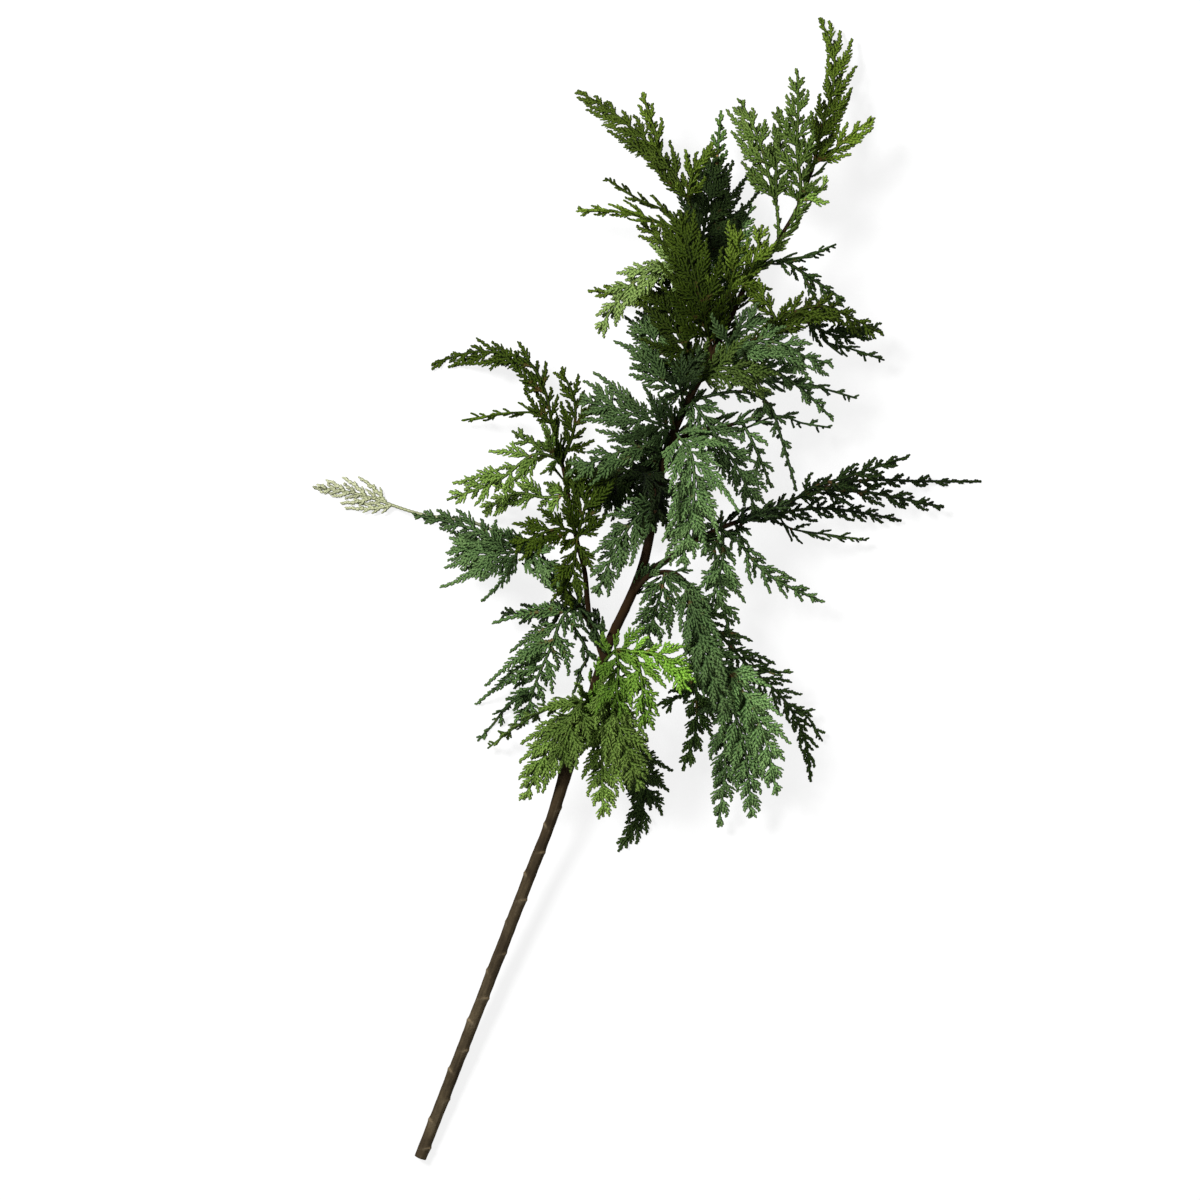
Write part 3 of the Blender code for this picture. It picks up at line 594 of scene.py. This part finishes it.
# The side shoots of a midrib.
FIRST_SHOOT = 3.5  # at least, from the midrib's foot
LAST_SHOOT = 1.5  # at least, from its tip
CROWDING = 0.3  # how much closer together they are at its tip
SHORTEST_SHOOT = 3.2
BARE_SHOOT = 5  # one up to this length has no branchlets
PAST_TIP = 3  # how far one may reach past the frond's tip
SHOOT_GIRTH = (1.65, 0.95)
SHOOT_TAPER = 0.3
SHOOT_ANGLE_RANGE = (-3, 4)  # against the habit's angle
SHOOT_BEND = 15  # how much wider the angle to its middle is
SHOOT_MIDDLE = 0.45  # where that is, as a share of its length
SHOOT_ARCH = 0.03  # how high the middle stands, as a share of its length
MIDDLE_LIFT = 0.7  # how much of the tip's lift the middle has
DROOP = 0.12  # how far the tip sinks, as a share of its length
DROOP_RANGE = (0.4, 1.5)  # and how that varies
SHOOT_ROLL_RANGE = (-0.3, 0.25)
FOOT_AGE = 0.12  # of the first ones
AGE_RISE = 0.45  # how much younger the last ones are
AGE_SPAN = 0.3  # and how much younger a tip is than its foot

MIDRIB_GIRTH = (1.5, 0.95)  # at its foot
MIDRIB_TAPER = 0.4  # how much narrower half of it is at its tip
MIDRIB_AGES = (0.05, 0.6)  # of its foot, and how much younger its tip is

# On either side of a midrib long shoots, which lie on top, and short ones below them take turns; the short
# ones are darker, with painted shade. Of each kind these are its size against the frond's width, its share of
# the frond's tone and painted shade, what is added to that, and how far its tip stands off the frond's plane.
# A pair is a range.
Shoot = namedtuple("Shoot", "size tone_share tone lift")
LONG_SHOOT = Shoot((0.92, 1.18), 0.35, (0, 0.25), (0.5, 3.5))
SHORT_SHOOT = Shoot((0.45, 0.78), 0.25, (0.45, 0.75), (-5.5, -2.0))


def reach(share):
    """How far the side shoots reach at this share of a frond's length, from 0 to 1: a spear's outline."""
    return 1.3 * (0.62 + 0.38 * min(1, share / 0.3)) * (1 - share) ** 0.8


def grow_shoot(spray, foot, directions, share, size, room, tone, lift):
    """One side shoot of a frond with its branchlets, at a share of the frond's length. directions are along
    the midrib, away from it and up from the frond. room is the distance to the frond's tip."""
    rng, habit = spray.rng, spray.habit
    tangent, side, up = directions
    turn = habit.foot_angle + (habit.tip_angle - habit.foot_angle) * share + rng.uniform(*SHOOT_ANGLE_RANGE)
    length = size * reach(share) / math.sin(math.radians(turn))
    length = max(min(length, room / math.cos(math.radians(turn)) + PAST_TIP), SHORTEST_SHOOT)
    tip = foot + turned(tangent, side, turn) * length
    tip[2] -= DROOP * length * rng.uniform(*DROOP_RANGE)
    tip += up * lift
    middle = foot + turned(tangent, side, turn + SHOOT_BEND) * length * SHOOT_MIDDLE
    middle = middle + UP * length * SHOOT_ARCH + up * lift * MIDDLE_LIFT
    bend = (foot, above_table(middle), above_table(tip))
    normal = unit(up + side * rng.uniform(*SHOOT_ROLL_RANGE) + tangent * rng.uniform(*TWIST_RANGE))
    young = FOOT_AGE + AGE_RISE * share
    age = (young, young + AGE_SPAN)
    spray.add(bend, normal, *SHOOT_GIRTH, age, tone, SHOOT_TAPER)
    if length > BARE_SHOOT:
        grow_twigs(spray, bend, normal, age, tone)


def grow_frond(spray, line, left, right, roll, bare=0):
    """A flat frond along the line: its midrib, and side shoots to the left and right in turn. bare is the
    share of it, from its foot, that has no shoots."""
    rng = spray.rng
    line = resampled(line, LINE_STEP)
    line[:, 2] = np.maximum(line[:, 2], LOWEST)
    direction = tangents(line)
    sides = across(direction, roll)
    normals = np.cross(sides, direction)
    total = lengths_along(line)[-1]
    tone = rng.uniform(0, 1)
    add_midrib(spray, line, direction, normals, tone)
    at = max(FIRST_SHOOT, bare * total)
    hand = rng.choice((-1, 1))
    kinds = {-1: LONG_SHOOT, 1: LONG_SHOOT}
    while at < total - LAST_SHOOT:
        i = round(at / total * (len(line) - 1))
        share = at / total
        kind = kinds[hand]
        size = (right if hand > 0 else left) * rng.uniform(*kind.size)
        shoot_tone_and_shade = kind.tone_share * tone + rng.uniform(*kind.tone)
        lift = rng.uniform(*kind.lift)
        kinds[hand] = SHORT_SHOOT if kind is LONG_SHOOT else LONG_SHOOT
        directions = (direction[i], sides[i] * hand, normals[i])
        grow_shoot(spray, line[i], directions, share, size, total - at, shoot_tone_and_shade, lift)
        at += spray.habit.shoot_pitch / 2 * rng.uniform(*PITCH_RANGE) * (1 - CROWDING * share)
        hand = -hand


def add_midrib(spray, line, direction, normals, tone):
    """The midrib of a frond, with longer leaves than its side shoots."""
    at, leaf_at, swell = leaf_rings(MIDRIB_LEAF, lengths_along(line)[-1], 3)
    k = np.round(at * (len(line) - 1)).astype(int)
    line, tip = line[k], line[-1]
    half_width, half_thick = MIDRIB_GIRTH
    widths = (half_width - MIDRIB_TAPER * at) * swell
    ages = MIDRIB_AGES[0] + MIDRIB_AGES[1] * at
    spray.add_rings(line, direction[k], tip, normals[k], widths, half_thick, leaf_at, ages, tone)


# Young wood is clothed in short shoots of its own. They are made with the spray that it carries. Each is the
# spray's name, the piece of wood, and the stretch of it that is clothed, in millimetres from its start.
CLOTHED = {
    "arch_long_spray": ("arching_twig", 3, 115),
    "left_fan_spray": ("left_lower_twig", 8, 118),
    "right_long_spray": ("right_twig", 46, 112),
    "crown_fan_spray": ("crown_right_twig", 8, 105),
    "left_upright_spray": ("left_upper_twig", 84, 150),
    "crown_dark_spray": ("crown_left_twig", 6, 110),
    "right_middle_spray": ("right_middle_twig", 12, 70),
    "right_wing_spray": ("right_upper_twig", 8, 76),
    "heart_front_spray": ("main_stem", 625, 730),
    "left_dark_spray": ("main_stem", 525, 640),
    "lower_left_spray": ("main_stem", 326, 372),
    "bright_spray": ("main_stem", 356, 398),
}
CLOTHING = CLOSE._replace(twig_share=0.40)
CLOTHING_PITCH = 3.4  # along the wood, from one of these shoots to the next
CLOTHING_PITCH_RANGE = (0.7, 1.3)  # how that varies
CLOTHING_ARC_RANGE = (-2.1, 2.1)  # where they stand round the wood, in radians from its top
CLOTHING_RANGE = (9, 19)  # their length
CLOTHING_ANGLES = (36, 12)  # to the wood, at foot and tip
CLOTHING_GIRTH = (1.4, 0.8)
CLOTHING_AGE_RANGE = (0.1, 0.35)
SUNK = 0.9  # where they start, as a share of the wood's radius


def clothe(spray, wood, start, end):
    """Short shoots over the top and sides of a stretch of young wood, which lie along it."""
    rng = spray.rng
    spray.habit = CLOTHING
    line = curve_through(WOOD[wood], LINE_STEP)
    direction = tangents(line)
    at = start
    end = min(end, lengths_along(line)[-1])
    while at < end:
        i = round(at / LINE_STEP)
        around = rng.uniform(*CLOTHING_ARC_RANGE)
        level = across(direction[i], 0)
        out = level * math.sin(around) + np.cross(level, direction[i]) * math.cos(around)
        length = rng.uniform(*CLOTHING_RANGE)
        foot = line[i, :3] + out * line[i, 3] * SUNK
        first, second = (turned(direction[i], out, angle) for angle in CLOTHING_ANGLES)
        bend = bent(foot, first * length * 0.5, second * length * 0.5)
        young = rng.uniform(*CLOTHING_AGE_RANGE)
        tone = rng.uniform(0, 1)
        spray.add(bend, out, *CLOTHING_GIRTH, (young, young + AGE_SPAN), tone, SHOOT_TAPER)
        grow_twigs(spray, bend, out, (young, young + AGE_SPAN), tone)
        at += CLOTHING_PITCH * rng.uniform(*CLOTHING_PITCH_RANGE)


def fork_from(first, target):
    """Where a fork that goes to the target leaves the first frond: a little before the point nearest it."""
    away = np.linalg.norm(first - target, axis=1)
    nearest = int(away.argmin())
    back = FORK_LEAD * away[nearest]
    return first[max(nearest - round(back / LINE_STEP), round(FORK_AT / LINE_STEP))]


def make_spray(name, tint, habit, fronds):
    spray = Spray(name, habit)
    left, right, roll, shade, points = fronds[0]
    first = curve_through(points, LINE_STEP)
    bare, wider = SPARSE.get(name, (0, 1))
    spray.shade = shade
    grow_frond(spray, first, left * wider, right * wider, roll, bare)
    for left, right, roll, shade, points in fronds[1:]:
        line = curve_through([fork_from(first, np.array(points[0])), *points], LINE_STEP)
        spray.shade = shade
        grow_frond(spray, line, left, right, roll)
    if name in CLOTHED:
        spray.shade = 1
        clothe(spray, *CLOTHED[name])
    spray.finish(name, tint)


# ---- wood

# How many sides a tube of bark has, and how far apart its rings are.
STEM_TUBE = (36, 1.0)
TWIG_TUBE = (14, 1.3)
ROUGH_BARK = 430  # how far up the stem its bark is rough
ROUGH_FADE = 12  # how softly that ends
SMOOTH_HEIGHT = 0.35  # how far smooth bark stands out, against rough bark
COLLAR_PITCH = 20  # along rough bark, from one of its collars to the next
BARK_BASE = 0.97  # the radius under the bark, as a share of the wood's
FULL_HEIGHT = 0.06  # what the material takes as 1, in shares of the radius
STEM_GAP = 0.02  # no point of the stem is lower than this above the table

# The fibres of bark are three waves round the wood. Of each these are its height against the others, how many
# times it goes up and down in a round, how far it weaves, and how slowly, in millimetres.
FIBRES = ((0.50, 7, 1.3, 31), (0.34, 13, 2.1, 17), (0.24, 21, 2.6, 9))


def bark_height(along, turn, seed, is_stem):
    """How far the bark stands out, in shares of the radius, at a distance along the wood and an angle round
    it. Returns it with how much of a raised edge it is, from 0 to 1."""
    rng = np.random.default_rng(seed)
    phases = rng.uniform(0, 6.28, 12)
    fibre = 0
    for i, (high, waves, weave, slow) in enumerate(FIBRES):
        woven = weave * np.sin(along / slow + phases[2 * i])
        fibre = fibre + high * np.sin(waves * turn + woven + phases[2 * i + 1])
    flake = np.sin(along / 2.9 + 3 * np.sin(2 * turn + phases[6]) + phases[7])
    flake = flake * np.sin(along / 4.7 + 2 * np.sin(3 * turn + phases[8]))
    height = 0.035 * fibre + 0.02 * flake
    edge = np.zeros_like(height)
    if is_stem:
        for k in range(int(along.max() / COLLAR_PITCH) + 1):
            middle = (k + 0.5) * COLLAR_PITCH + rng.uniform(-3, 3)
            facing = (k % 2) * math.pi + rng.uniform(-0.6, 0.6)
            front = 0.5 + 0.5 * np.cos(turn - facing)
            skew = along - middle - 2.5 * np.cos(turn - facing)
            lip = np.exp(-((skew / 1.5) ** 2)) * front**1.5
            swell = np.exp(-((skew / 6) ** 2)) * front * (skew < 0)
            height += 0.10 * lip + 0.07 * swell
            edge = np.maximum(edge, lip)
        height += 0.03 * np.sin(along / 14 + phases[9]) * np.cos(turn + phases[10])
    return height, edge


def make_wood(name, points):
    """A piece of wood as a tube of bark: many-sided rings, close together, pushed in and out."""
    is_stem = name == "main_stem"
    sides, step = STEM_TUBE if is_stem else TWIG_TUBE
    line = curve_through(points, step)
    along = lengths_along(line)
    direction = tangents(line)
    side = unit(np.cross(direction, UP))
    up = np.cross(side, direction)
    turn = np.linspace(0, 2 * math.pi, sides, endpoint=False)[None]
    seed = len(name) * 7 + 3
    height, edge = bark_height(*np.broadcast_arrays(along[:, None], turn), seed, is_stem)
    if is_stem:
        rough = 1 / (1 + np.exp((along - ROUGH_BARK) / ROUGH_FADE))[:, None]
        height *= SMOOTH_HEIGHT + (1 - SMOOTH_HEIGHT) * rough
        edge *= rough
    radius = line[:, 3:4] * (BARK_BASE + height)
    out = np.cos(turn)[..., None] * side[:, None] + np.sin(turn)[..., None] * up[:, None]
    rings = line[:, None, :3] + out * radius[..., None]
    if is_stem:
        rings[..., 2] = np.maximum(rings[..., 2], STEM_GAP)
    n = len(line)
    quads = tube_faces(n, sides)[:, ::-1].tolist()
    last = (n - 1) * sides
    first_end = [[s, (s + 1) % sides, n * sides] for s in range(sides)]
    last_end = [[last + (s + 1) % sides, last + s, n * sides + 1] for s in range(sides)]
    points = np.vstack([rings.reshape(-1, 3), line[0, :3], line[-1, :3]])
    marks = np.zeros((n * sides + 2, 3))
    marks[:-2, 0] = np.repeat(along / along[-1], sides) if is_stem else 1
    marks[:-2, 1] = edge.ravel()
    marks[:-2, 2] = (height / FULL_HEIGHT).ravel()
    looks = [bark_look(), cut_look()] if is_stem else [bark_look()]
    mesh = stand_in(name, points, quads + first_end + last_end, looks, bark=marks)
    if is_stem:
        for polygon in mesh.polygons[len(quads):len(quads) + sides]:
            polygon.material_index = 1
            polygon.use_smooth = False


# ---- nodes

class Nodes:
    """A short way to build the shader nodes of a material or of the world."""

    def __init__(self, owner):
        owner.use_nodes = True
        self.owner = owner
        self.tree = owner.node_tree

    def add(self, kind, settings=None, **inputs):
        node = self.tree.nodes.new("ShaderNode" + kind)
        for key, value in (settings or {}).items():
            setattr(node, key, value)
        self.put(node, inputs)
        return node

    def put(self, node, inputs):
        """Sets inputs of a node, given by name or number, to values or to what other nodes put out."""
        for key, value in inputs.items():
            if isinstance(value, bpy.types.NodeSocket):
                self.tree.links.new(value, node.inputs[key])
            elif value is not None:
                node.inputs[key].default_value = value

    def calc(self, kind, a, b=0.0, c=None, clamp=False):
        node = self.add("Math", {"operation": kind, "use_clamp": clamp})
        self.put(node, {0: a, 1: b, 2: c})
        return node.outputs[0]

    def noise(self, scale, detail=2.0):
        coords = self.add("TexCoord").outputs["Object"]
        return self.add("TexNoise", Scale=scale, Detail=detail, Vector=coords).outputs["Fac"]

    def span(self, value, low, high, to_low=0.0, to_high=1.0):
        """What lies between low and high, stretched to lie between to_low and to_high, and held there."""
        node = self.add("MapRange")
        self.put(node, {0: value, 1: low, 2: high, 3: to_low, 4: to_high})
        return node.outputs[0]

    def mix(self, factor, a, b, kind="MIX"):
        node = self.add("Mix", {"data_type": "RGBA", "blend_type": kind})
        a, b = ((*colour, 1) if isinstance(colour, tuple) else colour for colour in (a, b))
        self.put(node, {0: factor, 6: a, 7: b})
        return node.outputs[2]

    def vector(self, attribute):
        read = self.add("Attribute", {"attribute_name": attribute})
        return self.add("SeparateXYZ", Vector=read.outputs["Vector"]).outputs

    def value(self, attribute):
        return self.add("Attribute", {"attribute_name": attribute}).outputs["Fac"]

    def finish(self, colour, roughness, height, strength, distance):
        shader = self.tree.nodes["Principled BSDF"]
        bump = self.add("Bump", Height=height, Strength=strength, Distance=distance)
        self.put(shader, {"Base Color": colour, "Roughness": roughness, "Normal": bump.outputs[0]})
        self.put(shader, {"Specular IOR Level": SHEEN})
        return self.owner


# ---- materials

SHEEN = 0.05  # specular level of leaves and wood, which are waxy at most

# Linear colours of old leaves, of the common green, and of young tips. The tints shade and blue_shade are
# darker copies of the greens, with painted shade for sprays that lie in shadow.
TINTS = {
    "bright": ((0.027, 0.065, 0.003), (0.132, 0.290, 0.028), (0.270, 0.460, 0.070)),
    "meadow": ((0.020, 0.042, 0.004), (0.105, 0.190, 0.028), (0.255, 0.370, 0.085)),
    "olive": ((0.009, 0.016, 0.0007), (0.048, 0.082, 0.005), (0.145, 0.215, 0.028)),
    "dark_olive": ((0.005, 0.010, 0.0006), (0.021, 0.040, 0.0014), (0.072, 0.112, 0.009)),
    "blue": ((0.008, 0.020, 0.005), (0.061, 0.119, 0.036), (0.160, 0.255, 0.090)),
    "blue_shade": ((0.0045, 0.012, 0.003), (0.036, 0.071, 0.021), (0.115, 0.188, 0.060)),
    "shade": ((0.002, 0.005, 0.001), (0.011, 0.023, 0.005), (0.041, 0.070, 0.016)),
    "pale": ((0.035, 0.065, 0.010), (0.135, 0.215, 0.050), (0.290, 0.395, 0.120)),
    "faded": ((0.380, 0.420, 0.200), (0.560, 0.600, 0.330), (0.720, 0.740, 0.500)),
}
WITHERED = (0.075, 0.036, 0.014)  # of the odd dead scale leaf near the foot of a frond
SHADED = 0.25  # painted shade: the common green in the depth of a spray, against itself
SEAM_SHADE = 0.4  # painted shade: old leaves at their seams, against themselves

# The dark and light patches of rough bark and of smooth bark, and then what lies over them.
ROUGH_PATCHES = ((0.046, 0.034, 0.019), (0.081, 0.062, 0.035))
SMOOTH_PATCHES = ((0.009, 0.0042, 0.0008), (0.021, 0.0100, 0.0026))
FURROWS = (0.016, 0.012, 0.008)
RIDGES = (0.150, 0.122, 0.078)
COLLARS = (0.240, 0.175, 0.095)
GRAIN = (0.021, 0.013, 0.007)

# The cut end's rings, dark and light, and its pith.
RINGS = ((0.420, 0.290, 0.150), (0.560, 0.420, 0.250))
PITH = (0.060, 0.035, 0.020)
RING_SCALE = 7500.0  # radians of the rings' wave in a metre


def darker(colour, share):
    return tuple(share * v for v in colour)


@cache
def leaf_look(tint):
    """Scale leaves of one tint: darker on old wood and lighter at the young tips, with painted shade at their
    seams, between their rows, at the edges of each branchlet and on the short shoots that lie below, a
    painted highlight along the middle of each branchlet, and a factor for each frond that holds its own
    colour together with painted light and shade.
    """
    old, common, young = TINTS[tint]
    n = Nodes(bpy.data.materials.new("leaves_" + tint))
    leaf_at, over, age = n.vector("leaf")
    tone, shade = n.value("tone"), n.value("shade")

    # Of the four rows of leaves, the two at the sides are half a leaf ahead. edge is 0 in the middle of a
    # branchlet's flat side and 1 at its edges. seam runs from 0 at a leaf's foot to 1 at its point.
    edge = n.calc("ABSOLUTE", n.calc("MULTIPLY_ADD", over, 2.0, -1.0))
    side_row = n.span(edge, 0.46, 0.54)
    seam = n.calc("FRACT", n.calc("MULTIPLY_ADD", edge, -0.5, n.calc("MULTIPLY_ADD", side_row, 0.5, leaf_at)))
    # The mask of painted shade in the seams between scale leaves and between their rows.
    seam_shade = n.calc("ADD", n.span(seam, 0.0, 0.16, 1.0, 0.0), n.span(seam, 0.86, 1.0), clamp=True)
    between_rows = n.span(n.calc("ABSOLUTE", n.calc("SUBTRACT", edge, 0.5)), 0.04, 0.14, 0.7, 0.0)
    seam_shade = n.calc("MAXIMUM", seam_shade, between_rows)

    ageing = n.calc("ADD", age, n.span(n.noise(45.0, 3.0), 0.3, 0.7, -0.18, 0.18), clamp=True)
    green = n.mix(n.span(ageing, 0.0, 0.5), old, common)
    green = n.mix(n.span(ageing, 0.5, 1.05), green, young)
    # Painted shade: a branchlet's tone takes its green towards the shaded common green, most on the short
    # shoots that lie below.
    green = n.mix(n.span(tone, 0.0, 1.0, 0.0, 0.85), green, darker(common, SHADED))
    # A painted highlight along the middle of each branchlet's flat side, and painted shade at its edges.
    green = n.mix(n.span(edge, 0.0, 0.6, 0.30, 0.0), green, young)
    green = n.mix(n.span(edge, 0.5, 1.0, 0.0, 0.8), green, old)
    # Painted shade in the seams and between the rows.
    green = n.mix(n.calc("MULTIPLY", seam_shade, 0.6), green, darker(old, SEAM_SHADE))
    spots = n.span(n.noise(160.0), 0.62, 0.68, 0.0, 0.8)
    green = n.mix(n.calc("MULTIPLY", spots, n.span(age, 0.2, 0.5, 1.0, 0.0)), green, WITHERED)
    # Each frond's shade: a factor on the green that holds its own colour together with painted light and
    # shade.
    shades = n.add("CombineColor", Red=shade, Green=shade, Blue=shade)
    green = n.mix(1.0, green, shades.outputs[0], "MULTIPLY")

    roughness = n.span(n.noise(400.0), 0.3, 0.7, 0.5, 0.68)
    height = n.calc("SUBTRACT", n.span(seam, 0.0, 0.8), seam_shade)
    return n.finish(green, roughness, height, strength=0.6, distance=0.0004)


@cache
def bark_look():
    """Grey-brown bark: dark furrows, ochre edges on the collars, redder and smoother towards the crown."""
    n = Nodes(bpy.data.materials.new("cedar_bark"))
    along, edge, height = n.vector("bark")
    patch = n.noise(60.0, 4.0)
    grain = n.noise(900.0, 3.0)
    patches = n.span(patch, 0.35, 0.65)
    colour = n.mix(n.span(along, 0.24, 0.52), n.mix(patches, *ROUGH_PATCHES), n.mix(patches, *SMOOTH_PATCHES))
    colour = n.mix(n.span(height, -0.9, 0.4, 0.65, 0.0), colour, FURROWS)
    ridge = n.calc("MULTIPLY", n.span(height, 0.6, 1.6, 0.0, 0.4), n.span(along, 0.4, 0.54, 1.0, 0.04))
    colour = n.mix(ridge, colour, RIDGES)
    colour = n.mix(n.span(edge, 0.45, 0.95, 0.0, 0.7), colour, COLLARS)
    colour = n.mix(n.span(grain, 0.35, 0.7, 0.0, 0.35), colour, GRAIN)
    roughness = n.span(patch, 0.3, 0.7, 0.75, 0.92)
    return n.finish(colour, roughness, n.calc("ADD", grain, patch), strength=0.7, distance=0.0006)


def cut_look():
    """The cut end of the stem: pale wood with rings round a dark pith."""
    n = Nodes(bpy.data.materials.new("cut_wood"))
    middle = n.add("VectorMath", {"operation": "DISTANCE"})
    stem_end = tuple(v * MM for v in WOOD["main_stem"][0][:3])
    n.put(middle, {0: n.add("TexCoord").outputs["Object"], 1: stem_end})
    away = middle.outputs["Value"]
    wave = n.calc("MULTIPLY_ADD", n.noise(220.0), 3.0, n.calc("MULTIPLY", away, RING_SCALE))
    ring = n.calc("SINE", wave)
    colour = n.mix(n.span(ring, -1.0, 1.0), *RINGS)
    colour = n.mix(n.span(away, 0.0004, 0.0009, 0.85, 0.0), colour, PITH)
    return n.finish(colour, 0.8, n.calc("ADD", ring, n.noise(1500.0)), strength=0.4, distance=0.0003)


# ---- stage, in metres

WHITE = (1, 1, 1, 1)
WORLD_LIGHT = 0.12
FLOOR_HALF = 6.0  # half of its side
FLOOR_DROP = 0.0002  # below the branch's lowest point
FLOOR_SEEN = (0.95, 0.95, 0.95)
FLOOR_BOUNCE = (0.22, 0.22, 0.21)  # its colour for the light that it sends up into the branch
FLOOR_GLOW = 0.84  # share of plain white in what the camera sees of it
HALF_HEIGHT = 0.05  # about half of the branch's height
CAMERA_HEIGHT = 3.45
PICTURE_MIDDLE = (-0.0365, -0.0092)  # what the camera is straight over
PICTURE_WIDTH = 0.9  # of what it sees at half the branch's height
SENSOR = 36


def white_to_the_eye(n, shader, strength):
    """Mixes a shader with plain white light, so that the camera, gloss and clear things see white."""
    rays = n.add("LightPath").outputs
    eye = n.calc("MAXIMUM", rays["Is Camera Ray"], rays["Is Glossy Ray"])
    eye = n.calc("MAXIMUM", eye, rays["Is Transmission Ray"])
    light = n.add("Emission", Color=WHITE)
    mixed = n.add("MixShader")
    n.put(mixed, {0: n.calc("MULTIPLY", eye, strength), 1: shader, 2: light.outputs[0]})
    return mixed.outputs[0]


def make_floor():
    mesh = bpy.data.meshes.new("floor")
    corners = [(x * FLOOR_HALF, y * FLOOR_HALF, 0) for x, y in ((-1, -1), (1, -1), (1, 1), (-1, 1))]
    mesh.from_pydata(corners, [], [(0, 1, 2, 3)])
    floor = new_object("floor", mesh)
    floor.location.z = -FLOOR_DROP
    n = Nodes(bpy.data.materials.new("floor_paint"))
    shader = n.tree.nodes["Principled BSDF"]
    seen = n.add("LightPath").outputs["Is Camera Ray"]
    paint = n.mix(seen, FLOOR_BOUNCE, FLOOR_SEEN)
    n.put(shader, {"Base Color": paint, "Roughness": 0.9, "Specular IOR Level": 0})
    mixed = white_to_the_eye(n, shader.outputs[0], FLOOR_GLOW)
    n.put(n.tree.nodes["Material Output"], {"Surface": mixed})
    mesh.materials.append(n.owner)


def make_world():
    n = Nodes(bpy.data.worlds.new("studio"))
    bpy.context.scene.world = n.owner
    sky = n.tree.nodes["Background"]
    n.put(sky, {"Color": WHITE, "Strength": WORLD_LIGHT})
    n.put(n.tree.nodes["World Output"], {"Surface": white_to_the_eye(n, sky.outputs[0], 1.0)})


def make_lamp(name, place, size, power):
    """A round lamp that is turned to the middle of the branch."""
    data = bpy.data.lights.new(name, "AREA")
    data.shape = "DISK"
    data.size = size
    data.energy = power
    lamp = new_object(name, data)
    lamp.location = place
    aim = Vector((0, 0, HALF_HEIGHT)) - Vector(place)
    lamp.rotation_euler = aim.to_track_quat("-Z", "Y").to_euler()


def make_camera():
    data = bpy.data.cameras.new("camera")
    data.sensor_width = SENSOR
    data.lens = SENSOR * (CAMERA_HEIGHT - HALF_HEIGHT) / PICTURE_WIDTH
    camera = new_object("camera", data)
    camera.location = (*PICTURE_MIDDLE, CAMERA_HEIGHT)
    bpy.context.scene.camera = camera


def main():
    make_camera()
    make_world()
    make_floor()
    make_lamp("key", (-1.3, 1.0, 2.1), size=0.8, power=112)
    make_lamp("fill", (1.6, -0.8, 2.2), size=2.0, power=20)
    for name, points in WOOD.items():
        make_wood(name, points)
    for spray in SPRAYS:
        make_spray(*spray)
    bpy.context.scene.view_settings.view_transform = "Standard"


main()
